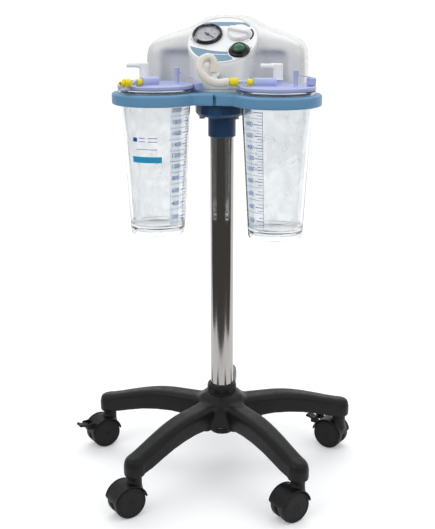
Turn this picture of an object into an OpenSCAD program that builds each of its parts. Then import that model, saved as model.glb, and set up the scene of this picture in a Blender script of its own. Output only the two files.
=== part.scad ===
// Suction pump on a five-star trolley: twin jars, lids, pump head, mast and casters.
// +Z is up, the front of the pump faces -Y, and the origin is on the floor.

/* [Base] */
// Radius of the circle that the caster stems stand on
stem_r = 242; // [225:1:260]
// Turn of the base under the mast, in degrees
base_yaw = 6.3; // [-30:0.1:30]
// Width of an arm at the hub
arm_w_hub = 42; // [36:1:46]
// Width of an arm at its end
arm_w_end = 33; // [28:1:34]
// Height of the top of the hub
hub_top = 147; // [140:1:155]
// Diameter of a caster wheel
wheel_d = 58; // [50:1:60]
// Width of one caster wheel
wheel_w = 14.4; // [12:0.1:15]
// Distance from the stem to the axle
trail = 17; // [14:1:20]

/* [Mast] */
// Outer diameter of the steel mast tube
mast_d = 42.4; // [42.4:0.1:42.4]
// Wall of the mast tube
mast_wall = 2; // [1.5:0.1:3]
// Height of the tube's upper end
mast_top = 688; // [680:1:688]

/* [Tray and jars] */
// Half the distance between the two jars
jar_x = 104; // [103:0.5:108]
// Distance of the jars in front of the mast
jar_y = 63; // [62:0.5:70]
// Outer diameter of a tray ring
ring_d = 150; // [146:1:154]
// Height of the tray's upper face
tray_z = 718.5; // [700:0.5:720]
// Thickness of the tray
tray_h = 20; // [16:1:22]
// Radius of a jar where it sits in its ring
jar_r = 59.5; // [55:0.5:59.5]
// Radius of a jar near its foot
jar_foot_r = 48; // [44:0.5:50]
// Height of a jar
jar_h = 252; // [230:1:260]
// Radius of a lid
lid_r = 65; // [62:0.5:65]
// Turn of the left lid about its own centre, in degrees
left_lid_turn = 58; // [40:1:62]
// Turn of the right lid about its own centre, in degrees
right_lid_turn = 9.3; // [0:0.1:12]

/* [Pump head] */
// Tilt of the control face from level, in degrees
face_tilt = 36.1; // [34:0.1:38]
// Radius of the control face
face_r = 61.5; // [60:0.5:61.5]
// Wall of the housing
shell_t = 3; // [2:0.5:4]
// Diameter of the gauge's bezel
gauge_d = 53; // [48:1:54]
// Diameter of the power button's skirt
skirt_d = 37; // [34:1:38]
// Travel of the power button
button_travel = 3; // [2:0.5:4]

/* [Drive] */
// Radius of the crank
crank_r = 7; // [5:0.5:7]
// Diameter of the piston
piston_d = 40; // [36:1:40]

/* [Hidden] */
$fn = 64;
// The mast stands here, so that the whole part is centred on the origin.
mast_x = 27;
mast_y = -4;
mast_r = mast_d / 2;
run = 0.05; // radial clearance of a running fit
wheel_r = wheel_d / 2;
axle_z = wheel_r;
arm_angles = [-47.7, -119.7, 24.3, 168.3, 96.3];
yaw0 = base_yaw - 6.3;
trail_turn = [222.3, 222.3, 155.3, 222.3, 222.3];
jar_z0 = tray_z + 6.5 - jar_h;
jar_cy = -jar_y;
face_c = [0, 5, 802];
mot = [0, 88, 754];   // the motor's axis runs along X through this point
cyl_x = 39;
tube_z = 737.6;

function polar(r, a) = [r * cos(a), r * sin(a)];
function arc(c, r, a0, a1, n) = [for (i = [0:n]) c + polar(r, a0 + (a1 - a0) * i / n)];
function mirror_x(pts) = concat(pts, [for (i = [len(pts) - 1:-1:0]) [-pts[i][0], pts[i][1]]]);

module at_mast() translate([mast_x, mast_y, 0]) children();
module on_face(x = 0, s = 0, d = 0)
  at_mast() translate(face_c) rotate([face_tilt, 0, 0]) translate([x, s, d]) children();
module at_jar(side) at_mast() translate([side * jar_x, jar_cy, 0]) children();
module at_lid(side)
  at_jar(side) rotate(side > 0 ? right_lid_turn : left_lid_turn) children();

// One tube swept along points, closed at both ends.
function unit(v) = v / norm(v);
function tangent(p, i) = unit(i == 0 ? p[1] - p[0] : i == len(p) - 1 ? p[i] - p[i - 1] : p[i + 1] - p[i - 1]);
function any_normal(t) = unit(abs(t[2]) < 0.9 ? cross(t, [0, 0, 1]) : cross(t, [1, 0, 0]));
function frames(p, i = 0, prev = undef) =
  i == len(p) ? [] :
  let (t = tangent(p, i),
       n = prev == undef ? any_normal(t) : unit(prev - t * (prev * t)))
  concat([[n, cross(t, n)]], frames(p, i + 1, n));
function radius_at(r, i) = is_list(r) ? r[i] : r;
module sweep(p, r, sides = 10) {
  fr = frames(p);
  n = len(p);
  pts = [for (i = [0:n - 1]) for (k = [0:sides - 1])
    p[i] + radius_at(r, i) * (cos(360 * k / sides) * fr[i][0] + sin(360 * k / sides) * fr[i][1])];
  polyhedron(points = pts, faces = concat(
    [[for (k = [0:sides - 1]) k]],
    [for (i = [0:n - 2]) for (k = [0:sides - 1])
      [i * sides + k, (i + 1) * sides + k, (i + 1) * sides + (k + 1) % sides, i * sides + (k + 1) % sides]],
    [[for (k = [sides - 1:-1:0]) (n - 1) * sides + k]]));
}
function catmull(p, i, t) =
  let (a = p[max(i - 1, 0)], b = p[i], c = p[i + 1], d = p[min(i + 2, len(p) - 1)])
  0.5 * ((2 * b) + (c - a) * t + (2 * a - 5 * b + 4 * c - d) * t * t + (3 * b - a - 3 * c + d) * t * t * t);
function smooth(p, n) = concat([for (i = [0:len(p) - 2]) for (k = [0:n - 1]) catmull(p, i, k / n)], [p[len(p) - 1]]);

// ---------------------------------------------------------------- base
arm_side = concat(
  [[12, 94.5], [60, 97], [100, 99], [130, 97], [160, 92.5], [190, 85], [215, 78], [232, 75.5], [stem_r + 8, 75]],
  [for (i = [0:10]) let (t = i / 10) [stem_r + 8 - t * (stem_r - 90), 105.5 + 31.5 * pow(sin(90 * t), 1.3)]],
  [[70, 137.8], [12, 138.2]]);
module arm_shape()
  intersection() {
    rotate([90, 0, 0]) linear_extrude(60, center = true) polygon(arm_side);
    translate([0, 0, 60]) linear_extrude(100)
      polygon([[12, -arm_w_hub / 2], [70, -arm_w_hub / 2], [stem_r, -arm_w_end / 2],
               [stem_r + 6, -10], [stem_r + 6, 10], [stem_r, arm_w_end / 2],
               [70, arm_w_hub / 2], [12, arm_w_hub / 2]]);
  }
module arm_pockets()
  for (k = [0:2]) translate([58 + 50 * k, -13 + k, 60]) cube([44, 26 - 2 * k, k < 2 ? 62 : 52]);

module base_star() color("#17181a") at_mast() rotate(yaw0) difference() {
  union() {
    for (a = arm_angles) rotate(a) arm_shape();
    for (a = arm_angles) rotate(a) translate([stem_r, 0, 0])
      rotate_extrude() polygon([[0, 72], [17.2, 72], [18, 73], [18, 101], [15, 104.2], [0, 104.2]]);
    rotate_extrude($fn = 96) polygon([[0, 92], [36, 92], [39, 95], [39, 140], [34, 143.5], [28.5, hub_top], [0, hub_top]]);
  }
  translate([0, 0, 80]) cylinder(r = mast_r, h = 80, $fn = 96);
  for (a = arm_angles) rotate(a) translate([stem_r, 0, 60]) cylinder(r = 5.5 + run, h = 39);
  for (a = arm_angles) rotate(a) arm_pockets();
}

module hub_collar() color("#1a1b1d") at_mast() difference() {
  rotate_extrude($fn = 96) polygon([[mast_r, hub_top + 0.3], [26.5, hub_top + 0.3], [27.5, hub_top + 1.5],
    [27.5, 164], [25.5, 167], [mast_r, 167]]);
  for (a = [30, 90, 150]) rotate(a) translate([20, 0, 157]) rotate([0, 90, 0]) cylinder(r = 3, h = 10, $fn = 32);
}
module collar_set_screws() color("#3a3b3d") at_mast()
  for (a = [30, 90, 150]) rotate(a) translate([mast_r + 0.1, 0, 157]) rotate([0, 90, 0]) difference() {
    cylinder(r = 2.95, h = 5.4, $fn = 32);
    translate([0, 0, 3]) cylinder(r = 1.5, h = 4, $fn = 6);
  }
// The tube's two ends are turned down by a hair where they sit in the hub and the tray socket.
module mast_tube() color("#b9bcc0") at_mast() rotate_extrude($fn = 96)
  polygon([[mast_r - mast_wall, 72.2], [mast_r - run, 72.2], [mast_r - run, 167.4], [mast_r, 167.4], [mast_r, 635.6],
    [mast_r - run, 635.6], [mast_r - run, mast_top], [mast_r - mast_wall, mast_top]]);
module mast_foot() color("#17181a") at_mast() difference() {
  rotate_extrude($fn = 96) polygon([[0, 68], [21.5, 68], [23, 69.5], [23, 91.6], [mast_r, 91.6], [mast_r, 72], [0, 72]]);
  translate([0, 0, 60]) cylinder(r = 4, h = 20);
}

// ---------------------------------------------------------------- casters
module at_caster(i) at_mast() rotate(yaw0 + arm_angles[i]) translate([stem_r, 0, 0])
  rotate(trail_turn[i] - arm_angles[i] - yaw0) children();
module along_y(r, y0, y1, fn = 64)
  translate([trail, y0, axle_z]) rotate([-90, 0, 0]) cylinder(r = r, h = y1 - y0, $fn = fn);
module fork_shape(lugs = false) {
  difference() {
    union() {
      translate([0, 0, 40]) cylinder(r = 12.5, h = 31.4);
      along_y(wheel_r + 2.6, -20, 20, 96);
    }
    along_y(wheel_r + 1, -30, -4, 96);
    along_y(wheel_r + 1, 4, 30, 96);
    translate([trail - 60, -30, -10]) cube([120, 60, axle_z + 14]);
    translate([trail - 60, -30, axle_z - 30]) cube([60 - wheel_r - 3, 60, 34]);
  }
  difference() {
    along_y(wheel_r - 3, -4, 4, 64);
    translate([trail - 60, -30, -20]) cube([120, 60, axle_z]);
  }
  translate([0, 0, 66]) cylinder(r = 5.5, h = 32);
  translate([trail, -18.6, axle_z]) rotate([-90, 0, 0]) cylinder(r = 3, h = 37.2, $fn = 48);
  if (lugs) for (s = [-1, 1]) difference() {
    translate([trail + 22, s > 0 ? 9.5 : -12.5, 44]) cube([18, 3, 11]);
    along_y(wheel_r + 1, -30, 30, 96);
    translate([trail + 36, -20, 49.5]) rotate([-90, 0, 0]) cylinder(r = 1.5 + run, h = 40, $fn = 32);
  }
}
module wheel_shape(s)
  translate([trail, s > 0 ? 4.6 : -4.6 - wheel_w, axle_z]) translate([0, s > 0 ? 0 : wheel_w, 0])
    rotate([s > 0 ? -90 : 90, 0, 0])
      rotate_extrude($fn = 96) polygon(concat(
        [[3 + run, 0], [wheel_r - 3, 0]],
        arc([wheel_r - 2.5, 2.5], 2.5, -80, 0, 4), arc([wheel_r - 3.5, wheel_w - 3.5], 3.5, 0, 80, 5),
        [[wheel_r - 8, wheel_w], [wheel_r - 10, wheel_w - 2.2], [10, wheel_w - 2.2], [8, wheel_w - 0.4], [3 + run, wheel_w - 0.4]]));
module brake_shape() {
  translate([trail + 36, -9.2, 49.5]) rotate([-90, 0, 0]) cylinder(r = 3.4, h = 18.4, $fn = 32);
  translate([trail + 36, -8.6, 49.5]) rotate([0, -16, 0]) translate([0.7, 0, -2.2]) cube([17, 17.2, 4]);
}
module brake_pin() translate([trail + 36, -12.4, 49.5]) rotate([-90, 0, 0]) cylinder(r = 1.5, h = 24.8, $fn = 32);

module caster_fr_fork() color("#1c1d1f") at_caster(0) fork_shape();
module caster_fr_wheel_a() color("#26272a") at_caster(0) wheel_shape(1);
module caster_fr_wheel_b() color("#26272a") at_caster(0) wheel_shape(-1);
module caster_fl_fork() color("#1c1d1f") at_caster(1) fork_shape();
module caster_fl_wheel_a() color("#26272a") at_caster(1) wheel_shape(1);
module caster_fl_wheel_b() color("#26272a") at_caster(1) wheel_shape(-1);
module caster_r_fork() color("#1c1d1f") at_caster(2) fork_shape(true);
module caster_r_wheel_a() color("#26272a") at_caster(2) wheel_shape(1);
module caster_r_wheel_b() color("#26272a") at_caster(2) wheel_shape(-1);
module caster_r_brake() color("#2a2b2e") at_caster(2) { brake_shape(); brake_pin(); }
module caster_l_fork() color("#1c1d1f") at_caster(3) fork_shape(true);
module caster_l_wheel_a() color("#26272a") at_caster(3) wheel_shape(1);
module caster_l_wheel_b() color("#26272a") at_caster(3) wheel_shape(-1);
module caster_l_brake() color("#2a2b2e") at_caster(3) { brake_shape(); brake_pin(); }
module caster_back_fork() color("#1c1d1f") at_caster(4) fork_shape();
module caster_back_wheel_a() color("#26272a") at_caster(4) wheel_shape(1);
module caster_back_wheel_b() color("#26272a") at_caster(4) wheel_shape(-1);

// ---------------------------------------------------------------- tray
ring_r = ring_d / 2;
ring_bore = jar_r + 0.8;
module jar_tray() color("#6f9fc4") difference() {
  union() {
    for (s = [-1, 1]) at_jar(s) translate([0, 0, tray_z - tray_h]) rotate_extrude($fn = 128)
      polygon(concat([[50, 0], [ring_r - 4, 0]], arc([ring_r - 4, 4], 4, -70, 0, 4),
        arc([ring_r - 3, tray_h - 3], 3, 0, 80, 4), [[50, tray_h]]));
    at_mast() translate([0, 0, tray_z - tray_h]) linear_extrude(tray_h)
      polygon([[-34, -90], [34, -90], [104, -20], [104, 0], [96, 30], [72, 62], [-72, 62], [-96, 30], [-104, 0], [-104, -20]]);
  }
  for (s = [-1, 1]) at_jar(s) translate([0, 0, 600]) cylinder(r = ring_bore, h = 200, $fn = 128);
  at_mast() translate([0, 0, 690]) linear_extrude(40) polygon([[-0.5, -92], [-0.5, -83], [11, -92]]);
  for (x = [-30, 30]) for (y = [-30, 28]) at_mast() translate([x, y, 690]) cylinder(r = 3.2, h = 40, $fn = 32);
}
module tray_socket() color("#2a567c") at_mast() difference() {
  union() {
    translate([0, 0, 679]) linear_extrude(19.2)
      polygon(mirror_x([[0, -76], [12, -70], [26, -57], [38, -38], [44, -18], [44, 22], [36, 38], [0, 42]]));
    translate([0, 0, 676]) linear_extrude(3)
      polygon(mirror_x([[0, -73], [11, -68], [25, -55], [36, -37], [42, -18], [42, 21], [35, 36], [0, 40]]));
    translate([0, 0, 636]) cylinder(r = 24.5, h = 42, $fn = 96);
  }
  translate([0, 0, 630]) cylinder(r = mast_r, h = 58.3, $fn = 96);
  for (x = [-30, 30]) for (y = [-30, 28]) translate([x, y, 670]) cylinder(r = 3.2, h = 40, $fn = 32);
}
module tray_bolts() color("#8f9296") at_mast() for (x = [-30, 30]) for (y = [-30, 28]) translate([x, y, 0]) difference() {
  union() {
    translate([0, 0, 670.5]) cylinder(r = 5, h = 5.3, $fn = 32);
    translate([0, 0, 675]) cylinder(r = 3, h = 43.3, $fn = 32);
  }
  translate([0, 0, 670]) cylinder(r = 2.5, h = 3.5, $fn = 6);
}

// ---------------------------------------------------------------- housing
// Half outlines: seen from the front (x, z), from the side (y, z) and from above (x, y).
front_half = [[0, 850], [22, 848.5], [38, 843], [52, 833], [66, 824.5], [84, 817.5], [104, 811],
  [122, 803], [134, 794.5], [141.5, 783], [145, 768], [146, 750], [146, 722.5]];
side_line = [[14, 722.5], [14, 778], [17, 794], [24, 808], [38, 824], [56, 839], [74, 848], [90, 850],
  [108, 847], [124, 837], [134, 822], [140, 800], [142, 770], [142, 722.5]];
module shoulders(t, zlow) intersection() {
  translate([0, 200, 0]) rotate([90, 0, 0]) linear_extrude(250)
    polygon(mirror_x(concat([for (p = front_half) [max(p[0] - t, 0), p[1] > 730 ? p[1] - t : zlow]])));
  rotate([90, 0, 90]) linear_extrude(340, center = true)
    polygon([for (p = side_line) [p[0] < 80 ? p[0] + t : p[0] - t, p[1] > 730 ? p[1] - t : zlow]]);
  translate([0, 0, 700]) linear_extrude(200)
    polygon(mirror_x(concat([[0, 14 + t]], arc([118, 42], 28 - t, -90, 0, 7), arc([104, 100], 42 - t, 0, 90, 9), [[0, 142 - t]])));
}
module bulge(t, zlow) hull() {
  at_face0() translate([0, 0, -3 - t]) cylinder(r = face_r - t, h = 3, $fn = 96);
  translate([0, 0, zlow]) linear_extrude(1)
    polygon([[-33 + t, -50 + t], [33 - t, -50 + t], [44 - t, -34 + t], [58 - t, 20], [58 - t, 90], [-58 + t, 90], [-58 + t, 20], [-44 + t, -34 + t]]);
}
module at_face0() translate(face_c) rotate([face_tilt, 0, 0]) children();
module alcove(s) {
  translate([s * 84, -40, 700]) linear_extrude(66) polygon([[-27, 0], [27, 0], [27, 76], [-27, 76]]);
  translate([s * 84, 36, 766]) rotate([90, 0, 0]) cylinder(r = 27, h = 76, $fn = 64);
}
module housing_cover() color("#f2f2ef") difference() {
  at_mast() union() { shoulders(0, 722.5); bulge(0, 722.5); }
  at_mast() difference() {
    union() { shoulders(shell_t, 715); bulge(shell_t, 715); }
    for (s = [-1, 1]) intersection() {
      translate([s * 84 - 30, -30, 700]) cube([60, 69, 90]);
      union() {
        translate([s * 84 - 30, -30, 700]) cube([60, 69, 66]);
        translate([s * 84, 39, 766]) rotate([90, 0, 0]) cylinder(r = 30, h = 69, $fn = 64);
      }
    }
  }
  at_mast() intersection() {
    for (s = [-1, 1]) intersection() {
      alcove(s);
      translate([s * 84 - 27, -60, 700]) cube([54, 96, 82]);
    }
    union() for (s = [-1, 1]) translate([s * 84 - 30, -60, 700]) cube([60, 96, 90]);
  }
  for (s = [-1, 1]) at_jar(s) translate([0, 0, 700]) cylinder(r = lid_r + 1.2, h = 200, $fn = 128);
  on_face(-27.8, 12.4, -20) cylinder(r = 24.3, h = 40, $fn = 64);
  on_face(28, 15, -20) cylinder(r = 9.3, h = 40, $fn = 48);
  on_face(33, -28.5, -20) cylinder(r = 11.3, h = 40, $fn = 48);
  at_mast() translate([-1, -30, 747.4]) rotate([90, 0, 0]) cylinder(r = 5.05, h = 40, $fn = 48);
  at_mast() translate([60, 130, 745]) cube([50, 30, 30], center = true);
  for (k = [0:8]) at_mast() translate([-96 + 14 * k, 130, 768]) cube([5, 30, 34]);
}
module housing_base() color("#e4e4e0") difference() {
  at_mast() union() {
    translate([0, 0, tray_z]) linear_extrude(3.7)
      polygon(mirror_x(concat([[0, 14]], arc([118, 42], 28, -90, 0, 7), arc([104, 100], 42, 0, 90, 9), [[0, 142]])));
    translate([0, 0, tray_z]) linear_extrude(3.7)
      polygon([[-33, -50], [33, -50], [44, -34], [58, 20], [58, 90], [-58, 90], [-58, 20], [-44, -34]]);
  }
  for (s = [-1, 1]) at_jar(s) translate([0, 0, 700]) cylinder(r = lid_r + 1.2, h = 200, $fn = 128);
  for (s = [-1, 1]) at_mast() translate([s * 84 - 27, -60, 700]) cube([54, 96, 82]);
  at_mast() for (x = [-30, 30]) for (y = [-30, 28]) translate([x, y, 700]) cylinder(r = 2.6, h = 40, $fn = 32);
  for (p = [[-130, 60], [130, 60], [-90, 128], [90, 128]]) at_mast() translate([p[0], p[1], 700]) cylinder(r = 2, h = 40, $fn = 32);
}
module housing_screws() color("#9a9da1") {
  for (p = [[-130, 60], [130, 60], [-90, 128], [90, 128]]) at_mast() translate([p[0], p[1], 0]) {
    translate([0, 0, 715.6]) cylinder(r = 4, h = 2.8, $fn = 32);
    translate([0, 0, 717]) cylinder(r = 1.9, h = 14, $fn = 32);
  }
}
module face_label() color("#eef2f4") on_face(0, 0, 0.05) difference() {
  cylinder(r = face_r - 1.5, h = 0.4, $fn = 96);
  translate([-27.8, 12.4, -1]) cylinder(r = 24.6, h = 3, $fn = 64);
  translate([28, 15, -1]) cylinder(r = 9.6, h = 3, $fn = 48);
  translate([33, -28.5, -1]) cylinder(r = 11.6, h = 3, $fn = 48);
}
module gauge_case() color("#141416") on_face(-27.8, 12.4, 0.5) {
  rotate_extrude($fn = 96) polygon([[0, -26], [22, -26], [23.8, -24], [23.8, 0], [gauge_d / 2, 0], [gauge_d / 2, 3.4], [gauge_d / 2 - 2, 6],
    [gauge_d / 2 - 3.4, 6], [gauge_d / 2 - 4, 4.6], [gauge_d / 2 - 4, 1], [gauge_d / 2 - 5, 0], [0, 0]]);
  translate([0, 0, -38]) cylinder(r = 4, h = 13, $fn = 32);
}
module gauge_dial() color("#e7e6ea") on_face(-27.8, 12.4, 0.5) {
  translate([0, 0, 0.1]) cylinder(r = gauge_d / 2 - 5.2, h = 0.7, $fn = 96);
  translate([0, 0, 0.5]) cylinder(r = 0.9, h = 3.1, $fn = 32);
}
module gauge_needle() color("#1b1b1d") on_face(-27.8, 12.4, 0.5) rotate(-38) difference() {
  union() {
    translate([0, 0, 1.8]) cylinder(r = 3, h = 1, $fn = 32);
    translate([0, 0, 2]) linear_extrude(0.6) polygon([[-6, -1.1], [0, -1.1], [17.5, -0.3], [17.5, 0.3], [0, 1.1], [-6, 1.1]]);
  }
  cylinder(r = 0.9 + run, h = 5, $fn = 32);
}
module gauge_lens() color("#dfe8ee", 0.35) on_face(-27.8, 12.4, 0.5)
  translate([0, 0, 3.9]) cylinder(r = gauge_d / 2 - 4.1, h = 1, $fn = 96);

module regulator_valve() color("#c9b458") on_face(28, 15, 0.6) {
  translate([0, 0, -26]) cylinder(r = 9, h = 26, $fn = 48);
  translate([0, 0, -32]) cylinder(r = 12, h = 18, $fn = 48);
  translate([0, 0, -1]) cylinder(r = 3, h = 8.4, $fn = 32);
}
module regulator_knob() color("#f4f4f2") on_face(28, 15, 1.1) rotate(-16) difference() {
  union() {
    rotate_extrude($fn = 96) polygon([[0, 0], [19, 0], [19.5, 0.8], [18.6, 5], [16.5, 6.6], [0, 7.2]]);
    intersection() {
      translate([-21, -6, 0.5]) cube([42, 12, 13.5]);
      rotate([90, 0, 0]) linear_extrude(20, center = true) polygon([[-20.6, 0], [20.6, 0], [20.2, 9], [16, 13.4], [-15, 13.4], [-20.2, 9]]);
    }
  }
  translate([0, 0, -1]) cylinder(r = 3 + run, h = 8.2, $fn = 32);
}
module button_skirt() color("#19191b") on_face(33, -28.5, 0.5) rotate_extrude($fn = 96)
  polygon([[9.8, -18], [11, -18], [11, 0], [skirt_d / 2, 0], [skirt_d / 2, 1.2], [16.6, 3.6], [12.4, 8.4], [11, 8.8], [9.8, 8.4]]);
module power_button() color("#0e7a46") on_face(33, -28.5, 0.5) rotate_extrude($fn = 96)
  polygon(concat([[0, -12], [9.5, -12], [9.5, 8.2]], arc([0, -2.6], 14.4, 48.5, 90, 7)));

// ---------------------------------------------------------------- suction port, inlet
module suction_port() color("#f0f0ee") at_mast() {
  translate([-1, -32, 747.4]) rotate([90, 0, 0]) cylinder(r = 5, h = 46, $fn = 48);
  translate([-1, -78, 742.4]) rotate_extrude($fn = 48)
    polygon([[0, 0], [4.6, 0], [5.6, 1], [5.6, 10.4], [3.6, 10.4], [3.6, 12], [4.3, 14], [3.6, 17], [4.3, 19], [3.4, 23], [0, 23]]);
  translate([-1, -38, 747.4]) rotate([90, 0, 0]) cylinder(r = 8, h = 2.5, $fn = 48);
}
module mains_inlet() color("#1a1a1c") at_mast() translate([60, 0, 745]) {
  difference() {
    union() {
      translate([-29, 142.3, -16]) cube([58, 2.5, 32]);
      translate([-24.5, 112, -14.5]) cube([49, 31, 29]);
    }
    translate([-12.5, 127, -8.5]) cube([25, 30, 17]);
  }
  for (x = [-7, 0, 7]) translate([x - 1, 125, x == 0 ? -1 : -5]) cube([2, 14, 4]);
}

// ---------------------------------------------------------------- drive inside the housing
module motor_stator() color("#8d8f92") at_mast() translate(mot) rotate([0, 90, 0]) {
  difference() {
    union() {
      translate([0, 0, -66]) cylinder(r = 31, h = 78, $fn = 64);
    }
    translate([0, 0, -62]) cylinder(r = 27, h = 70, $fn = 64);
    translate([0, 0, -70]) cylinder(r = 5 + run, h = 100, $fn = 48);
  }
}
module motor_rotor() color("#a8632f") at_mast() translate(mot) rotate([0, 90, 0]) {
  translate([0, 0, -56]) cylinder(r = 26, h = 58, $fn = 64);
  translate([0, 0, -92]) cylinder(r = 5, h = 121, $fn = 48);
  translate([0, 0, -90]) difference() {
    cylinder(r = 28, h = 20, $fn = 64);
    for (k = [0:7]) rotate(k * 45) translate([8, 2, -1]) cube([30, 14, 17]);
  }
  translate([0, 0, 24]) cylinder(r = 15, h = 5, $fn = 48);
  translate([-crank_r, 0, 28.5]) cylinder(r = 4, h = 7, $fn = 32);
}
module pump_block() color("#b7babd") at_mast() difference() {
  union() {
    translate([17, mot[1] - 26, 726.5]) cube([5, 52, 59]);
    translate([17, mot[1] - 26, 780.5]) cube([48, 52, 5]);
    translate([17, mot[1] - 26, 726.5]) cube([48, 52, 4]);
    translate([cyl_x, mot[1], 780.5]) cylinder(r = 25, h = 33, $fn = 64);
    translate([cyl_x, mot[1], 813]) cylinder(r = 26, h = 6, $fn = 64);
    translate([cyl_x - 16, mot[1], 818]) cylinder(r = 4, h = 7, $fn = 32);
  }
  translate([cyl_x, mot[1], 767]) cylinder(r = piston_d / 2 + run, h = 45.5, $fn = 64);
  translate([0, mot[1], mot[2]]) rotate([0, 90, 0]) cylinder(r = 5 + run, h = 60, $fn = 48);
}
module piston_rod() color("#d4d6d8") at_mast() {
  translate([cyl_x, mot[1], 803]) cylinder(r = piston_d / 2, h = 8, $fn = 64);
  difference() {
    union() {
      translate([cyl_x - 3, mot[1] - 4, mot[2] + crank_r + 5]) cube([6, 8, 38]);
      translate([cyl_x - 3, mot[1], mot[2] + crank_r]) rotate([0, 90, 0]) cylinder(r = 9, h = 6, $fn = 48);
    }
    translate([cyl_x - 10, mot[1], mot[2] + crank_r]) rotate([0, 90, 0]) cylinder(r = 4.1, h = 20, $fn = 48);
  }
}
module rubber_mounts() color("#222326") at_mast()
  for (p = [[24, 68], [24, 108], [58, 68], [58, 108]]) translate([p[0], p[1], 722.4]) cylinder(r = 5, h = 4, $fn = 32);
module inner_tubes() color("#d9d4c4") at_mast() {
  sweep(smooth([[-1, -31.6, 747.4], [-1, -20, 746.5], [3, -4, 744], [14, 8, 742], [20, 18, 748], [22, 34, 757], [20, 50, 764]], 4), 4, 8);
}

// ---------------------------------------------------------------- jars
module jar_shape() rotate_extrude($fn = 128) translate([0, 0]) polygon(concat(
  [[jar_foot_r - 4, jar_z0], [jar_foot_r - 1.6, jar_z0 + 1], [jar_foot_r - 0.4, jar_z0 + 4], [jar_foot_r, jar_z0 + 12],
   [jar_r, tray_z - tray_h], [jar_r, tray_z + 0.1], [jar_r + 4.5, tray_z + 0.1], [jar_r + 5, tray_z + 1], [jar_r + 5, tray_z + 5.8], [jar_r + 4.4, tray_z + 6.5],
   [jar_r - 2, tray_z + 6.5], [jar_r - 2, tray_z - tray_h], [jar_foot_r - 2.2, jar_z0 + 22], [jar_foot_r - 6, jar_z0 + 17.5], [0, jar_z0 + 16],
   [0, jar_z0 + 13], [jar_foot_r - 7, jar_z0 + 14], [jar_foot_r - 4, jar_z0 + 9]]));
module liner_shape() rotate_extrude($fn = 96) polygon([
  [0, jar_z0 + 17.2], [jar_foot_r - 6.6, jar_z0 + 18.7], [jar_foot_r - 3, jar_z0 + 23], [jar_r - 2.7, tray_z - tray_h], [jar_r - 2.7, tray_z + 6.4],
  [jar_r - 3.5, tray_z + 6.4], [jar_r - 3.5, tray_z - tray_h], [jar_foot_r - 3.8, jar_z0 + 23.4], [jar_foot_r - 7, jar_z0 + 19.5], [0, jar_z0 + 18]]);

// Lid, turned so that its port barrel points along -X.
lz = tray_z + 6.7;
by = -6;
module lid_shape() difference() {
  union() {
    rotate_extrude($fn = 128) polygon([[0, lz + 2.2], [jar_r - 5.5, lz + 2.2], [jar_r - 5.5, lz - 3.6], [jar_r - 3.7, lz - 3.6], [jar_r - 3.7, lz],
      [lid_r - 0.6, lz], [lid_r, lz + 0.8], [lid_r, lz + 5.4], [lid_r - 1.2, lz + 6.8], [lid_r - 5, lz + 6.8], [lid_r - 6, lz + 6], [0, lz + 6]]);
    translate([-2, by, 738.2]) rotate([0, -90, 0]) cylinder(r = 7, h = 38, $fn = 48);
    translate([-34, by - 4, lz + 4]) cube([32, 8, 6]);
    translate([2.5, 30, lz + 4]) cylinder(r = 6.4, h = 9, $fn = 48);
    translate([28.8, -23, lz + 4]) cylinder(r = 3.85, h = 27, $fn = 32);
    translate([0, 0, lz + 0.4]) linear_extrude(3) polygon([[-lid_r + 4, -8], [-lid_r - 14, -5.5], [-lid_r - 16, -3.5], [-lid_r - 16, 3.5], [-lid_r - 14, 5.5], [-lid_r + 4, 8]]);
  }
  translate([-20, by, 738.2]) rotate([0, -90, 0]) cylinder(r = 3.5, h = 30, $fn = 32);
  translate([2.5, 30, lz + 1]) cylinder(r = 4.2, h = 20, $fn = 32);
  translate([28.8, -23, lz + 1]) cylinder(r = 2.2, h = 40, $fn = 32);
}
module connector_shape() translate([0, by, 738.2]) rotate([0, -90, 0]) difference() {
  union() {
    translate([0, 0, 30]) cylinder(r = 3.45, h = 36, $fn = 32);
    rotate_extrude($fn = 48) polygon([[0, 40.1], [4.6, 40.1], [5.5, 41.5], [5.5, 49.5], [4.6, 51], [0, 51]]);
    rotate_extrude($fn = 48) polygon([[0, 51], [4.2, 51], [4.6, 55], [4.2, 64], [0, 64]]);
    rotate_extrude($fn = 48) polygon([[0, 65.6], [6.2, 65.6], [6.9, 66.5], [6.9, 78.4], [6.2, 79.2], [0, 79.2]]);
    translate([0, 0, 60]) cylinder(r = 4, h = 27, $fn = 32);
  }
  translate([0, 0, 20]) cylinder(r = 2.4, h = 80, $fn = 32);
}
module elbow_shape() difference() {
  union() {
    rotate_extrude($fn = 48) polygon([[0, lz + 13.4], [8.3, lz + 13.4], [8.3, 762], [6.6, 765], [3, 766], [0, 766]]);
    translate([0, 0, 761.5]) rotate([0, -90, 0]) cylinder(r = 4.2, h = 29.7, $fn = 32);
    translate([0, 0, lz + 8]) cylinder(r = 4.15, h = 8, $fn = 32);
  }
  translate([0, 0, 761.5]) rotate([0, -90, 0]) cylinder(r = 2.6, h = 40, $fn = 32);
  translate([0, 0, lz]) cylinder(r = 2.6, h = 761.5 - lz, $fn = 32);
}
// Stopper strap: a small cap on the post, a strap and the large cap at its free end.
module stopper_shape(cap_p, strap, cr) {
  translate([28.8, -23, 748]) difference() {
    cylinder(r = 5, h = 11.3, $fn = 32);
    translate([0, 0, -1]) cylinder(r = 3.9, h = 9.4, $fn = 32);
  }
  translate(cap_p) rotate_extrude($fn = 48) polygon([[0, 0], [cr - 0.8, 0], [cr, 1.2], [cr, 11], [cr - 1.2, 12.8], [0, 13.4]]);
  sweep(smooth(strap, 4), 0.9, 8);
}
strap_r = [[33, -22.6, 750.5], [37, -20, 750], [43, -14, 748.5], [49, -7, 747], [53, -4, 746.4], [55, -2, 745.4]];
strap_l = [[32.4, -26.6, 750.5], [35, -31, 749], [38, -38, 745], [40.5, -46, 742], [41.4, -54, 738.5], [41.4, -58, 734.8]];

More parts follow.
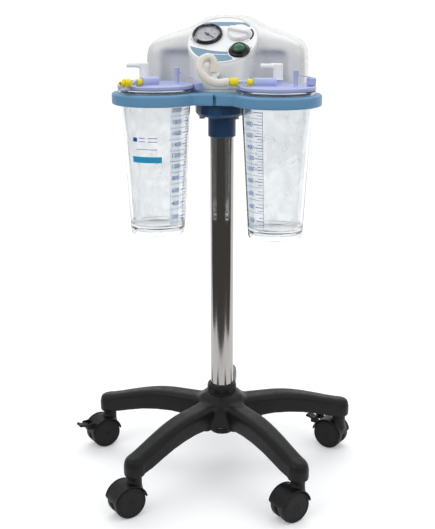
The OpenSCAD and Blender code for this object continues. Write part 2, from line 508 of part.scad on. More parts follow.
module jar_left() color("#dfe9ee", 0.35) at_jar(-1) jar_shape();
module jar_right() color("#dfe9ee", 0.35) at_jar(1) jar_shape();
module liner_left() color("#eef3f5", 0.35) at_jar(-1) liner_shape();
module liner_right() color("#eef3f5", 0.35) at_jar(1) liner_shape();
module lid_left() color("#b9bfe0") at_lid(-1) lid_shape();
module lid_right() color("#b9bfe0") at_lid(1) lid_shape();
module connector_left() color("#f2dd1e") at_lid(-1) connector_shape();
module connector_right() color("#f2dd1e") at_lid(1) connector_shape();
module elbow_left() color("#f4f4f2") at_lid(-1) translate([2.5, 30, 0]) rotate(9.3 - left_lid_turn) elbow_shape();
module elbow_right() color("#f4f4f2") at_lid(1) translate([2.5, 30, 0]) rotate(9.3 - right_lid_turn) elbow_shape();
module stopper_left() color("#b4bade") at_lid(-1) stopper_shape([41.4, -60.2, 722], strap_l, 7.4);
module stopper_right() color("#b4bade") at_lid(1) stopper_shape([56.4, 1, lz + 7], strap_r, 8.4);

// Suction hose, from the right lid's connector round one loop and down over the port.
hose_pts = [[26, -82, 738], [19, -83, 738], [12, -87, 737], [4, -92, 738], [-8, -95, 743], [-17, -95, 751],
  [-22, -93, 760], [-22, -89, 768], [-18, -85, 775], [-10, -81, 778], [-4, -79, 775], [-1, -78, 768], [-1, -78, 760], [-1, -78, 753.4]];
module suction_hose() color("#ddd6c6") at_mast() difference() {
  sweep(smooth(hose_pts, 3), [for (i = [0:39]) i < 30 ? 6.8 : min(9, 6.8 + 0.32 * (i - 30))], 12);
  translate([-1, -78, 752]) cylinder(r = 4.6, h = 14.5, $fn = 32);
  translate([jar_x, jar_cy, 738.2]) rotate(right_lid_turn) translate([-78, by, 0]) rotate([0, -90, 0])
    cylinder(r = 4.05, h = 9.6, $fn = 32);
}

base_star();
hub_collar();
collar_set_screws();
mast_tube();
mast_foot();
caster_fr_fork();
caster_fr_wheel_a();
caster_fr_wheel_b();
caster_fl_fork();
caster_fl_wheel_a();
caster_fl_wheel_b();
caster_r_fork();
caster_r_wheel_a();
caster_r_wheel_b();
caster_r_brake();
caster_l_fork();
caster_l_wheel_a();
caster_l_wheel_b();
caster_l_brake();
caster_back_fork();
caster_back_wheel_a();
caster_back_wheel_b();
jar_tray();
tray_socket();
tray_bolts();
housing_cover();
housing_base();
housing_screws();
face_label();
gauge_case();
gauge_dial();
gauge_needle();
gauge_lens();
regulator_knob();
regulator_valve();
button_skirt();
power_button();
suction_port();
mains_inlet();
motor_stator();
motor_rotor();
pump_block();
piston_rod();
rubber_mounts();
inner_tubes();
jar_left();
liner_left();
lid_left();
elbow_left();
connector_left();
stopper_left();
jar_right();
liner_right();
lid_right();
elbow_right();
connector_right();
stopper_right();
suction_hose();
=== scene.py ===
import bpy, bmesh, math
import numpy as np
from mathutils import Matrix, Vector


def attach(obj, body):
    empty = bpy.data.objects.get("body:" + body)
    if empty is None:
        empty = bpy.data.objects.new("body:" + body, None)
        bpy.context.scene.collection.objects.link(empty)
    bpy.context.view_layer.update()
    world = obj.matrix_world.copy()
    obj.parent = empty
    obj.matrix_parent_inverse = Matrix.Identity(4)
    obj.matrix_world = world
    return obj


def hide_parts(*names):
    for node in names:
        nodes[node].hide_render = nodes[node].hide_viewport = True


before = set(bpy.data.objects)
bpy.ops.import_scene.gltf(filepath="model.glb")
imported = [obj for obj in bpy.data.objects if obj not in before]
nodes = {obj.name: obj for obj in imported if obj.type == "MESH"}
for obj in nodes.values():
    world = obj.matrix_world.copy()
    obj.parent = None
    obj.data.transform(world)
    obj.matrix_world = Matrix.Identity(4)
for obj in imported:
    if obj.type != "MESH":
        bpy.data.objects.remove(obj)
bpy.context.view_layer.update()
rng = np.random.default_rng(7)


# ------------------------------------------------------------------ transforms (millimetres)
def T(x, y, z):
    m = np.eye(4); m[:3, 3] = (x, y, z); return m


def R(axis, deg):
    c, s = math.cos(math.radians(deg)), math.sin(math.radians(deg))
    i, j = {"x": (1, 2), "y": (2, 0), "z": (0, 1)}[axis]
    m = np.eye(4); m[i, i] = m[j, j] = c; m[i, j] = -s; m[j, i] = s
    return m


HEAD = T(27, -4, 0)
FACE = HEAD @ T(0, 5, 802) @ R("x", 36.1)
ARMS = [-47.7, -119.7, 24.3, 168.3, 96.3]
TURN = [222.3, 222.3, 155.3, 222.3, 222.3]
CASTERS = ["fr", "fl", "r", "l", "back"]


def JAR(s): return HEAD @ T(104 * s, -63, 0)
def LID(s): return JAR(s) @ R("z", 9.3 if s > 0 else 58)
def CASTER(i): return HEAD @ R("z", ARMS[i]) @ T(242, 0, 0) @ R("z", TURN[i] - ARMS[i])


# ------------------------------------------------------------------ materials
def mat(name, base, rough=.5, metal=0., cvar=.04, rvar=.05, cscale=35, bump=.0002, bscale=600, bstr=.25, stretch=None, **kw):
    m = bpy.data.materials.new(name); m.use_nodes = True
    nt = m.node_tree; p = nt.nodes["Principled BSDF"]; L = nt.links.new; N = nt.nodes.new
    tc = N("ShaderNodeTexCoord"); src = tc.outputs["Object"]
    if stretch:
        mp = N("ShaderNodeMapping"); mp.inputs["Scale"].default_value = stretch; L(src, mp.inputs["Vector"]); src = mp.outputs[0]
    n1 = N("ShaderNodeTexNoise"); n1.inputs["Scale"].default_value = cscale; n1.inputs["Detail"].default_value = 5; L(src, n1.inputs["Vector"])
    mx = N("ShaderNodeMix"); mx.data_type = "RGBA"; L(n1.outputs[0], mx.inputs[0])
    mx.inputs[6].default_value = (*[min(1, c * (1 - cvar)) for c in base], 1)
    mx.inputs[7].default_value = (*[min(1, c * (1 + cvar)) for c in base], 1)
    L(mx.outputs[2], p.inputs["Base Color"])
    mr = N("ShaderNodeMapRange"); mr.inputs[1].default_value = .3; mr.inputs[2].default_value = .7
    mr.inputs[3].default_value = max(.01, rough - rvar); mr.inputs[4].default_value = rough + rvar
    n3 = N("ShaderNodeTexNoise"); n3.inputs["Scale"].default_value = cscale * 2.3; n3.inputs["Detail"].default_value = 4; L(src, n3.inputs["Vector"])
    L(n3.outputs[0], mr.inputs[0]); L(mr.outputs[0], p.inputs["Roughness"])
    n2 = N("ShaderNodeTexNoise"); n2.inputs["Scale"].default_value = bscale; n2.inputs["Detail"].default_value = 3; L(src, n2.inputs["Vector"])
    bp = N("ShaderNodeBump"); bp.inputs["Strength"].default_value = bstr; bp.inputs["Distance"].default_value = bump
    L(n2.outputs[0], bp.inputs["Height"]); L(bp.outputs[0], p.inputs["Normal"])
    p.inputs["Metallic"].default_value = metal
    for k, v in kw.items():
        p.inputs[k.replace("_", " ")].default_value = v
    return m


def srgb(h):
    return [((int(h[i:i + 2], 16) / 255 + .055) / 1.055) ** 2.4 if int(h[i:i + 2], 16) > 10 else int(h[i:i + 2], 16) / 255 / 12.92 for i in (0, 2, 4)]


M = {
    "base_nylon": mat("base_nylon", (.0052, .0052, .0058), .42, rvar=.07, cvar=.25, bump=.0004, bscale=900, bstr=.3, Specular_IOR_Level=.24),
    "caster_plastic": mat("caster_plastic", (.0042, .0041, .0041), .42, Specular_IOR_Level=.24, rvar=.07, cvar=.25, bump=.0003, bscale=1400, bstr=.3),
    "caster_tread": mat("caster_tread", (.0068, .0066, .0064), .5, Specular_IOR_Level=.24, cvar=.3, bump=.0003, bscale=1600, bstr=.35),
    "steel": mat("steel", (.46, .47, .48), .3, 1., bump=.0001, bscale=900),
    "mast_steel": mat("mast_steel", (.40, .385, .37), .12, 1., rvar=.05, cvar=.06, cscale=55, bump=.00012, bscale=420, bstr=.16, stretch=(1, 1, .03)),
    "tray_blue": mat("tray_blue", srgb("699DC3"), .42, bump=.0002, bscale=1300, bstr=.22),
    "socket_blue": mat("socket_blue", srgb("245079"), .4, bump=.0002, bscale=1300, bstr=.22),
    "housing_white": mat("housing_white", srgb("E1E1DF"), .3, cvar=.008, bump=.00018, bscale=1100, bstr=.12, Coat_Weight=.15),
    "label": mat("label", srgb("F4F6F6"), .42, cvar=.01, bump=.0001, bscale=1500),
    "black_gloss": mat("black_gloss", (.006, .006, .007), .27, cvar=.2, bump=.0002, bscale=1200, bstr=.15, Specular_IOR_Level=.4),
    "dial": mat("dial", srgb("E2DFE6"), .5, cvar=.02),
    "needle": mat("needle", (.012, .012, .013), .4, cvar=.2),
    "knob_white": mat("knob_white", srgb("F3F3F1"), .3, cvar=.008, bump=.00015, bscale=1200, bstr=.12),
    "brass": mat("brass", (.62, .45, .17), .32, 1.),
    "green": mat("green", srgb("07683A"), .28, cvar=.1, Coat_Weight=.2, Subsurface_Weight=.1, Subsurface_Scale=.004),
    "lilac": mat("lilac", srgb("B3BBE2"), .34, cvar=.015, bump=.00015, bscale=900, bstr=.15, Subsurface_Weight=.35, Subsurface_Scale=.006, Subsurface_Radius=(.8, .85, 1), Transmission_Weight=.0),
    "elbow_white": mat("elbow_white", srgb("F4F4F2"), .34, cvar=.008, bump=.00012),
    "yellow": mat("yellow", srgb("F6E012"), .34, cvar=.03, bump=.00015, Subsurface_Weight=.2, Subsurface_Scale=.003),
    "silicone": mat("silicone", srgb("E9E4DA"), .3, cvar=.025, cscale=60, bump=.0002, bscale=300, bstr=.1, Subsurface_Weight=.45, Subsurface_Scale=.005, Subsurface_Radius=(1, .92, .8)),
    "motor_metal": mat("motor_metal", (.33, .34, .35), .42, 1.),
    "copper": mat("copper", (.62, .28, .13), .36, 1.),
    "alu": mat("alu", (.62, .63, .64), .4, 1.),
    "rubber": mat("rubber", (.02, .02, .021), .7),
}
M["print_blue"] = mat("print_blue", srgb("1C5AA6"), .5, cvar=.05)
M["print_cyan"] = mat("print_cyan", srgb("1FA0CF"), .5, cvar=.05)
M["print_pale"] = mat("print_pale", srgb("C9E2F2"), .5, cvar=.03, Alpha=.38)
M["label_band"] = mat("label_band", srgb("7798AF"), .42, cvar=.02, bump=.0001, bscale=1500)
M["print_grey"] = mat("print_grey", srgb("6D7278"), .5)
M["print_red"] = mat("print_red", srgb("B03A38"), .5)
M["tab_grey"] = mat("tab_grey", srgb("9C9CA2"), .3)
M["white_felt"] = mat("white_felt", srgb("FAFAF8"), .5)
for nm, tint, rough, kw in (("clear", (.965, .982, .99), .045, dict(Transmission_Weight=1., IOR=1.45)),
                            ("lens", (.97, .98, .99), .03, dict(Transmission_Weight=1., IOR=1.3)),
                            ("adaptor", (.86, .9, .95), .12, dict(Transmission_Weight=.75, IOR=1.4))):
    M[nm] = mat(nm, tint, rough, cvar=.01, rvar=.02, bump=.0002, bscale=60, bstr=.08, **kw)


def film(name):
    """Thin creased film: mostly see-through, with a milky share and its own gloss."""
    m = bpy.data.materials.new(name); m.use_nodes = True
    nt = m.node_tree; N = nt.nodes.new; L = nt.links.new
    p = nt.nodes["Principled BSDF"]; out = nt.nodes["Material Output"]
    p.inputs["Base Color"].default_value = (.97, .98, .99, 1); p.inputs["Roughness"].default_value = .12
    p.inputs["Transmission Weight"].default_value = .25
    tc = N("ShaderNodeTexCoord"); nz = N("ShaderNodeTexNoise"); nz.inputs["Scale"].default_value = 26; nz.inputs["Detail"].default_value = 3.5; nz.inputs["Distortion"].default_value = 1.4
    L(tc.outputs["Object"], nz.inputs["Vector"])
    bp = N("ShaderNodeBump"); bp.inputs["Strength"].default_value = .5; bp.inputs["Distance"].default_value = .0012
    L(nz.outputs[0], bp.inputs["Height"]); L(bp.outputs[0], p.inputs["Normal"])
    tr = N("ShaderNodeBsdfTransparent"); mix = N("ShaderNodeMixShader")
    mr = N("ShaderNodeMapRange"); mr.inputs[1].default_value = .35; mr.inputs[2].default_value = .75
    mr.inputs[3].default_value = .12; mr.inputs[4].default_value = .34
    L(nz.outputs[0], mr.inputs[0]); L(mr.outputs[0], mix.inputs[0]); L(tr.outputs[0], mix.inputs[1])
    tl = N("ShaderNodeBsdfTranslucent"); tl.inputs["Color"].default_value = (.97, .98, .99, 1); L(bp.outputs[0], tl.inputs["Normal"])
    m2 = N("ShaderNodeMixShader"); m2.inputs[0].default_value = .5; L(p.outputs[0], m2.inputs[1]); L(tl.outputs[0], m2.inputs[2]); L(m2.outputs[0], mix.inputs[2])
    L(mix.outputs[0], out.inputs["Surface"])
    return m


M["liner"] = film("liner")


# ------------------------------------------------------------------ mesh helpers
def put(name, V, F, m, body, reps=(), X=HEAD, angle=None, wn=False, recalc=True):
    V = np.asarray(V, float) @ X[:3, :3].T + X[:3, 3]
    me = bpy.data.meshes.new(name)
    if isinstance(F, np.ndarray) and F.ndim == 2:
        k = F.shape[1]; me.vertices.add(len(V)); me.vertices.foreach_set("co", (V * .001).astype(np.float32).ravel())
        me.loops.add(F.size); me.loops.foreach_set("vertex_index", F.astype(np.int32).ravel())
        me.polygons.add(len(F)); me.polygons.foreach_set("loop_start", np.arange(0, F.size, k, dtype=np.int32))
        me.update(calc_edges=True)
    else:
        me.from_pydata((V * .001).tolist(), [], [list(f) for f in F])
    me.validate()
    if recalc:
        bm = bmesh.new(); bm.from_mesh(me); bmesh.ops.recalc_face_normals(bm, faces=bm.faces[:]); bm.to_mesh(me); bm.free()
    me.polygons.foreach_set("use_smooth", np.ones(len(me.polygons), bool))
    if angle:
        me.set_sharp_from_angle(angle=math.radians(angle))
    me.update()
    ob = bpy.data.objects.new(name, me); bpy.context.scene.collection.objects.link(ob)
    me.materials.append(M[m])
    if wn:
        w = ob.modifiers.new("wn", "WEIGHTED_NORMAL"); w.keep_sharp = True
    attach(ob, body)
    if reps:
        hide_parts(*([reps] if isinstance(reps, str) else reps))
    return ob


def rounded(pts, rad, closed=False, n=4):
    """Outline with each corner turned into a small arc. A point may carry its own radius."""
    out = []
    c = len(pts)
    for i, p in enumerate(pts):
        r = p[2] if len(p) > 2 else rad
        P = np.array(p[:2], float)
        if (not closed and i in (0, c - 1)) or r <= 0:
            out.append(P); continue
        A, B = np.array(pts[i - 1][:2], float) - P, np.array(pts[(i + 1) % c][:2], float) - P
        la, lb = np.linalg.norm(A), np.linalg.norm(B)
        if la < 1e-6 or lb < 1e-6:
            out.append(P); continue
        a, b = A / la, B / lb
        cosx = np.clip(a @ b, -1, 1); half = math.acos(cosx) / 2
        if half > 1.54:
            out.append(P); continue
        d = min(r / math.tan(half), la * .48, lb * .48)
        for k in range(n + 1):
            t = k / n
            out.append((1 - t) ** 2 * (P + a * d) + 2 * t * (1 - t) * P + t * t * (P + b * d))
    return out


def lathe(prof, segs=96, closed=False):
    V, F, rings = [], [], []
    for r, z in [(float(p[0]), float(p[1])) for p in prof]:
        if r < 1e-5:
            rings.append([len(V)]); V.append((0, 0, z))
        else:
            s = len(V); rings.append(list(range(s, s + segs)))
            for k in range(segs):
                a = 2 * math.pi * k / segs; V.append((r * math.cos(a), r * math.sin(a), z))
    seq = list(zip(rings, rings[1:] + ([rings[0]] if closed else []))) if closed else list(zip(rings, rings[1:]))
    for A, B in seq:
        if len(A) == 1 and len(B) == 1: continue
        for k in range(segs):
            j = (k + 1) % segs
            if len(A) == 1: F.append((A[0], B[k], B[j]))
            elif len(B) == 1: F.append((A[k], A[j], B[0]))
            else: F.append((A[k], A[j], B[j], B[k]))
    return V, F


def spun(name, prof, m, body, reps=(), X=HEAD, segs=96, closed=False, rad=.6, n=4):
    V, F = lathe(rounded(prof, rad, closed, n), segs, closed)
    return put(name, V, F, m, body, reps, X, angle=50, wn=True)


def catmull(P, n):
    P = np.array(P, float); out = []
    for i in range(len(P) - 1):
        a, b, c, d = P[max(i - 1, 0)], P[i], P[i + 1], P[min(i + 2, len(P) - 1)]
        for k in range(n):
            t = k / n
            out.append(.5 * (2 * b + (c - a) * t + (2 * a - 5 * b + 4 * c - d) * t * t + (3 * b - a - 3 * c + d) * t ** 3))
    out.append(P[-1]); return np.array(out)


def tube(P, rad, sides=24, ends=True):
    """Closed tube along points, its ends closed with flat caps."""
    P = np.array(P, float); n = len(P); r = np.full(n, rad, float) if np.isscalar(rad) else np.array(rad, float)
    t = np.gradient(P, axis=0); t /= np.linalg.norm(t, axis=1)[:, None]
    u = np.cross(t[0], (0, 0, 1) if abs(t[0][2]) < .9 else (1, 0, 0)); u /= np.linalg.norm(u)
    V, F = [], []
    for i in range(n):
        u = u - t[i] * (u @ t[i]); u /= np.linalg.norm(u); w = np.cross(t[i], u)
        for k in range(sides):
            a = 2 * math.pi * k / sides
            V.append(P[i] + r[i] * (math.cos(a) * u + math.sin(a) * w))
    for i in range(n - 1):
        for k in range(sides):
            j = (k + 1) % sides
            F.append((i * sides + k, i * sides + j, (i + 1) * sides + j, (i + 1) * sides + k))
    for e, s in ((0, -1), (n - 1, 1)):
        base = e * sides
        V.append(P[e]); c = len(V) - 1
        for k in range(sides):
            j = (k + 1) % sides
            F.append((base + k, base + j, c) if s > 0 else (base + j, base + k, c))
    return V, F


def smin(a, b, k):
    h = np.maximum(k - np.abs(a - b), 0) / k
    return np.minimum(a, b) - h * h * k * .25


def smax(a, b, k): return -smin(-a, -b, k)


def cyl(X, Y, cx, cy): return np.sqrt((X - cx) ** 2 + (Y - cy) ** 2)


def rbox(X, Y, Z, c, h, r):
    qx, qy, qz = np.abs(X - c[0]) - h[0] + r, np.abs(Y - c[1]) - h[1] + r, np.abs(Z - c[2]) - h[2] + r
    return np.sqrt(np.maximum(qx, 0) ** 2 + np.maximum(qy, 0) ** 2 + np.maximum(qz, 0) ** 2) + np.minimum(np.maximum(qx, np.maximum(qy, qz)), 0) - r


def rcyl(d2, Z, Rr, z0, z1, r):
    """Upright cylinder with rounded rims; d2 is the distance from its axis."""
    a, b = d2 - Rr + r, np.abs(Z - (z0 + z1) / 2) - (z1 - z0) / 2 + r
    return np.minimum(np.maximum(a, b), 0) + np.sqrt(np.maximum(a, 0) ** 2 + np.maximum(b, 0) ** 2) - r


class Poly:
    """Signed distance to a closed outline, kept in a table."""
    def __init__(self, pts, pad=40, h=.6):
        P = np.array(pts, float); self.h = h; self.lo = P.min(0) - pad
        n = np.ceil((P.max(0) + pad - self.lo) / h).astype(int) + 2; self.n = n
        a = self.lo[0] + h * np.arange(n[0])[:, None]; b = self.lo[1] + h * np.arange(n[1])[None, :]
        d = np.full((n[0], n[1]), 1e9); s = np.ones((n[0], n[1]))
        for i in range(len(P)):
            p, q = P[i], P[(i + 1) % len(P)]; e = q - p
            if e @ e < 1e-9: continue
            wx, wy = a - p[0], b - p[1]
            t = np.clip((wx * e[0] + wy * e[1]) / (e @ e), 0, 1)
            d = np.minimum(d, (wx - t * e[0]) ** 2 + (wy - t * e[1]) ** 2)
            c = ((p[1] <= b) != (q[1] <= b)) & ((a - p[0]) * 1.0 < (b - p[1]) * e[0] / (e[1] if e[1] else 1e-9))
            s = np.where(c, -s, s)
        self.t = (np.sqrt(d) * s).astype(np.float32)

    def __call__(self, A, B):
        A, B = np.broadcast_arrays(A, B)
        u = np.clip((A - self.lo[0]) / self.h, 0, self.n[0] - 1.001); v = np.clip((B - self.lo[1]) / self.h, 0, self.n[1] - 1.001)
        i, j = u.astype(int), v.astype(int); fu, fv = u - i, v - j; t = self.t
        return (t[i, j] * (1 - fu) + t[i + 1, j] * fu) * (1 - fv) + (t[i, j + 1] * (1 - fu) + t[i + 1, j + 1] * fu) * fv


def net(f, lo, hi, h, relax=2):
    """Surface of f = 0 as quads, its points moved onto f."""
    lo = np.array(lo, float); n = np.ceil((np.array(hi) - lo) / h).astype(int) + 1
    g = [lo[i] + h * np.arange(n[i]) for i in range(3)]
    G = np.broadcast_to(f(g[0][:, None, None], g[1][None, :, None], g[2][None, None, :]), n).astype(np.float32)
    S = G < 0
    cnt = sum(S[a:n[0] - 1 + a, b:n[1] - 1 + b, c:n[2] - 1 + c].astype(np.int8) for a in (0, 1) for b in (0, 1) for c in (0, 1))
    occ = (cnt > 0) & (cnt < 8); cell = np.argwhere(occ); idx = -np.ones(occ.shape, np.int64); idx[occ] = np.arange(len(cell))
    acc = np.zeros((len(cell), 3)); num = np.zeros(len(cell))
    for d in range(3):
        e = np.zeros(3, int); e[d] = 1; o = [k for k in range(3) if k != d]
        for a in (0, 1):
            for b in (0, 1):
                c0 = cell.copy(); c0[:, o[0]] += a; c0[:, o[1]] += b; c1 = c0 + e
                va, vb = G[tuple(c0.T)], G[tuple(c1.T)]; x = (va < 0) != (vb < 0)
                t = va / np.where(x, va - vb, 1)
                p = (c0 - cell) + t[:, None] * e
                acc[x] += p[x]; num[x] += 1
    V = lo + h * (cell + acc / num[:, None])
    quads = []
    for d in range(3):
        u, v = (d + 1) % 3, (d + 2) % 3
        sl0 = [slice(None)] * 3; sl1 = [slice(None)] * 3; sl0[d] = slice(0, -1); sl1[d] = slice(1, None)
        A, B = S[tuple(sl0)], S[tuple(sl1)]
        P = np.argwhere(A != B); P = P[(P[:, u] > 0) & (P[:, v] > 0) & (P[:, u] < n[u] - 1) & (P[:, v] < n[v] - 1)]
        ins = A[tuple(P.T)]
        q = []
        for du, dv in ((-1, -1), (0, -1), (0, 0), (-1, 0)):
            c = P.copy(); c[:, u] += du; c[:, v] += dv; q.append(idx[tuple(c.T)])
        q = np.stack(q, 1); q[~ins] = q[~ins][:, ::-1]; quads.append(q)
    F = np.concatenate(quads)
    F = F[(F >= 0).all(1)]

    def project(V, its):
        e = .12
        for _ in range(its):
            X, Y, Z = V.T
            d = f(X, Y, Z)
            gr = np.stack([f(X + e, Y, Z) - f(X - e, Y, Z), f(X, Y + e, Z) - f(X, Y - e, Z), f(X, Y, Z + e) - f(X, Y, Z - e)], 1) / (2 * e)
            s = -(d / np.maximum((gr ** 2).sum(1), .2))[:, None] * gr
            l = np.linalg.norm(s, axis=1)[:, None]; V = V + s * np.minimum(1, h * .6 / np.maximum(l, 1e-9))
        return V
    V = project(V, 2)
    for _ in range(relax):
        s = np.zeros_like(V); c = np.zeros(len(V))
        for a, b in ((0, 1), (1, 2), (2, 3), (3, 0)):
            for i, j in ((F[:, a], F[:, b]), (F[:, b], F[:, a])):
                for k in range(3): s[:, k] += np.bincount(i, V[j, k], len(V))
                c += np.bincount(i, minlength=len(V))
        V = V * .45 + .55 * s / np.maximum(c, 1)[:, None]
        V = project(V, 2)
    return V, F


def carve(name, f, lo, hi, h, m, body, reps=(), X=HEAD, relax=2):
    V, F = net(f, lo, hi, h, relax)
    return put(name, V, F, m, body, reps, X, recalc=False)


def along(X, Y, deg):
    c, s = math.cos(math.radians(deg)), math.sin(math.radians(deg))
    return X * c + Y * s, -X * s + Y * c


# ------------------------------------------------------------------ base
def arm_sd(X, Y, Z, deg):
    u, w = along(X, Y, deg)
    t = np.clip((250 - u) / 152, 0, 1)
    top = 105.5 + 31.5 * np.sin(np.radians(90 * t)) ** 1.3
    bot = np.interp(u, [12, 60, 100, 130, 160, 190, 215, 232, 262], [94.5, 97, 99, 97, 92.5, 85, 78, 75.5, 74.6])
    hw = np.interp(u, [0, 70, 225, 260], [21.5, 21, 17.6, 17.4])
    side = np.abs(w) - hw - np.clip((top - Z) * .035, -1, 1.2)
    end = cyl(u, w, 242, 0) - 17.8
    plan = smin(np.maximum(side, np.abs(u - 121) - 121), end, 2)
    body = smax(smax(plan, Z - top, 13), bot - Z, 4)
    boss = rcyl(cyl(u, w, 242, 0), Z, 17.9, 72, 92, 1.5)
    body = smin(body, boss, 3)
    for k in range(3):
        z1 = 122 if k < 2 else 112
        body = smax(body, -rbox(u, w, Z, (80 + 50 * k, 0, 60), (21.5, 12.5 - k, z1 - 60), 2.5), 1.5)
    return body


def star(X, Y, Z):
    d = None
    for a in ARMS:
        s = arm_sd(X, Y, Z, a); d = s if d is None else smin(d, s, 22)
    r = cyl(X, Y, 0, 0)
    hub = rcyl(r, Z, 36.5, 92, 141, 5)
    cone = np.maximum((r - 28.5 - (147 - Z) * .8) * .78, Z - 147)
    hub = smin(hub, smax(cone, 100 - Z, 3), 10)
    d = smin(d, hub, 12)
    return smax(d, -np.maximum(r - 21.4, 91 - Z), .8)


carve("base_star_skin", star, (-256, -262, 68), (256, 266, 150), 1.9, "base_nylon", "base", "base_star")
spun("collar_ring", [(21.25, 147.3), (26.9, 147.3), (27.6, 148.6), (27.6, 150.4), (26.6, 151.4), (26.6, 153), (27.5, 154), (27.5, 162.4), (26.7, 163.6), (26.7, 165.2), (25.4, 167), (21.25, 167)],
     "base_nylon", "base", "hub_collar", closed=True, rad=.5)
spun("foot_cup", [(0, 68), (20.8, 68), (23, 70, 2), (23, 78), (21.6, 79), (21.6, 84), (23, 85), (23, 91.6), (0, 91.6)], "base_nylon", "base", "mast_foot", rad=1)
for k, a in enumerate((30, 90, 150)):
    V, F = lathe(rounded([(1.5, 3), (1.6, 5.4), (2.95, 5.4), (2.95, 0), (0, 0)], .25), 32)
    put(f"set_screw_{k}", V, F, "steel", "base", "collar_set_screws" if k == 0 else (), HEAD @ R("z", a) @ T(21.3, 0, 157) @ R("y", 90), angle=40)
spun("mast_pipe", [(19.2, 72.2), (21.15, 72.2), (21.15, 150), (21.2, 168), (21.2, 400), (21.2, 634), (21.15, 650), (21.15, 688), (19.2, 688)],
     "mast_steel", "pump_and_mast", "mast_tube", segs=160, closed=True, rad=.35)


# ------------------------------------------------------------------ casters
def fork(lugs):
    def f(X, Y, Z):
        c = cyl(X, Z, 17, 29)
        band = smax(smax(c - 31.6, np.abs(Y) - 20, 2.4), smax(33 - Z, -16 - X, 2), 2)
        inner = np.maximum(c - 30, 4 - np.abs(Y))
        skirt = smax(band, -inner, 1)
        rib = smax(np.abs(c - 31.4) - .9, np.abs(np.abs(Y) - 18.8) - 1.1, .8)
        skirt = smin(skirt, smax(rib, 36 - Z, 1), 1.2)
        neck = rcyl(cyl(X, Y, 0, 0), Z, 12.5, 42, 71.4, 1.5)
        d = smin(skirt, smax(neck, -(c - 30.2), 1), 7)
        d = smax(d, -inner, 1)
        web = smax(np.maximum(c - 26, 9 - Z), np.abs(Y) - 4, 1)
        d = smin(d, smax(web, -((np.abs(c - 16) - 4.5)), 1.5), 2)
        d = np.minimum(d, rcyl(cyl(X, Y, 0, 0), Z, 5.5, 60, 98, .8))
        d = np.minimum(d, np.maximum(c - 3, np.abs(Y) - 18.6))
        if lugs:
            lug = rbox(X, np.abs(Y), Z, (48, 11, 49.5), (9, 1.5, 5.5), 1.2)
            d = smin(d, np.maximum(lug, 31 - c), 1.2)
            d = np.maximum(d, -(cyl(X, Z, 53, 49.5) - 1.55))
        return d
    return net(f, (-17, -22, 7), (60, 22, 99.5), .72, 1)


hood = {False: fork(False), True: fork(True)}
wheel_prof = rounded([(3.05, 0), (25.5, 0, .4), (28.2, .3, 1.4), (29, 3, 1.5), (29, 11.2, 2), (28, 13.6, 1.4), (25.6, 14.4, .8), (24.6, 14.4, .4), (24.2, 13.7, .4), (23.4, 13.7, .4),
                      (22.8, 14.3, .6), (6.2, 14.3, .5), (5.4, 13.6, .5), (3.05, 13.6, .3)], .5, True, 4)


def brake(X, Y, Z):
    px, pz = X - 53, Z - 49.5
    c, s = math.cos(math.radians(-16)), math.sin(math.radians(-16))
    u, w = px * c - pz * s, px * s + pz * c
    plate = rbox(u, Y, w, (9.2, 0, -.2), (8.6, 8.6, 2.0), 1.5)
    tipr = rcyl(cyl(u, w, 15.4, -.1), Y, 2.4, -8.6, 8.6, 1.1)
    for g in (8, 11, 14): plate = smax(plate, -(cyl(u, w, g, 2.4) - .8), .5)
    d = smin(plate, tipr, 2)
    d = smin(d, rcyl(cyl(px, pz, 0, 0), Y, 3.4, -9.2, 9.2, .7), 2)
    return np.minimum(d, np.maximum(cyl(px, pz, 0, 0) - 1.5, np.abs(Y) - 12.4))


for i, c in enumerate(CASTERS):
    V, F = hood[c in ("r", "l")]
    put(f"hood_{c}", V, F, "caster_plastic", f"caster_{c}", f"caster_{c}_fork", CASTER(i), recalc=False)
    for ab, s in (("a", 1), ("b", -1)):
        W, G = lathe(wheel_prof, 96, True)
        X = CASTER(i) @ T(17, 4.6 * s, 29) @ R("x", -90 * s)
        put(f"wheel_{c}_{ab}", W, G, "caster_tread", f"caster_{c}_wheel_{ab}", f"caster_{c}_wheel_{ab}", X, angle=50, wn=True)
    if c in ("r", "l"):
        V, F = net(brake, (46, -13, 44), (76, 13, 60), .5, 1)
        put(f"brake_pedal_{c}", V, F, "caster_plastic", f"caster_{c}_brake", f"caster_{c}_brake", CASTER(i), recalc=False)

# ------------------------------------------------------------------ tray and socket
block = Poly(rounded([(-36, -89), (36, -89), (100, -24), (104, 0), (96, 30), (72, 62), (-72, 62), (-96, 30), (-104, 0), (-100, -24)], 9, True))
vee = Poly([(-.7, -94), (-.7, -83), (11.5, -94)])


def tray(X, Y, Z):
    ring = cyl(np.abs(X), Y, 104, -63)
    plan = smin(ring - 75, block(X, Y), 9)
    d = smax(plan, np.abs(Z - 708.5) - 10, 4.5)
    d = smax(d, -(ring - 60.4), 1.2)
    d = smax(d, -vee(X, Y), 1.2)
    inner = smax(plan + 3.2, -(ring - 63.6), 2)
    ribs = smin(np.abs(X) - 1.3, smin(np.abs(Y + 20) - 1.3, np.abs(np.abs(X) - 46) - 1.3, .5), .5)
    recess = np.maximum(np.maximum(smax(inner, -ribs, 1.5), Z - 714.5), -(cyl(np.abs(X), Y, 30, -1) - 0))
    flange = np.maximum(np.abs(X) - 46, np.maximum(Y - 44, -78 - Y))
    d = smax(d, -smax(recess, -flange, 2), 1.2)
    for y in (-30, 28): d = smax(d, -(cyl(np.abs(X), Y, 30, y) - 3.2), .5)
    return d


carve("tray_body", tray, (-181, -140, 696.5), (181, 65, 720.5), 1.15, "tray_blue", "pump_and_mast", "jar_tray")
fl = [(0, -76), (12, -70), (26, -57), (38, -38), (44, -18), (44, 22), (36, 38), (0, 42)]
flange = Poly([p for p in fl] + [(-x, y) for x, y in fl[::-1] if x > 0])


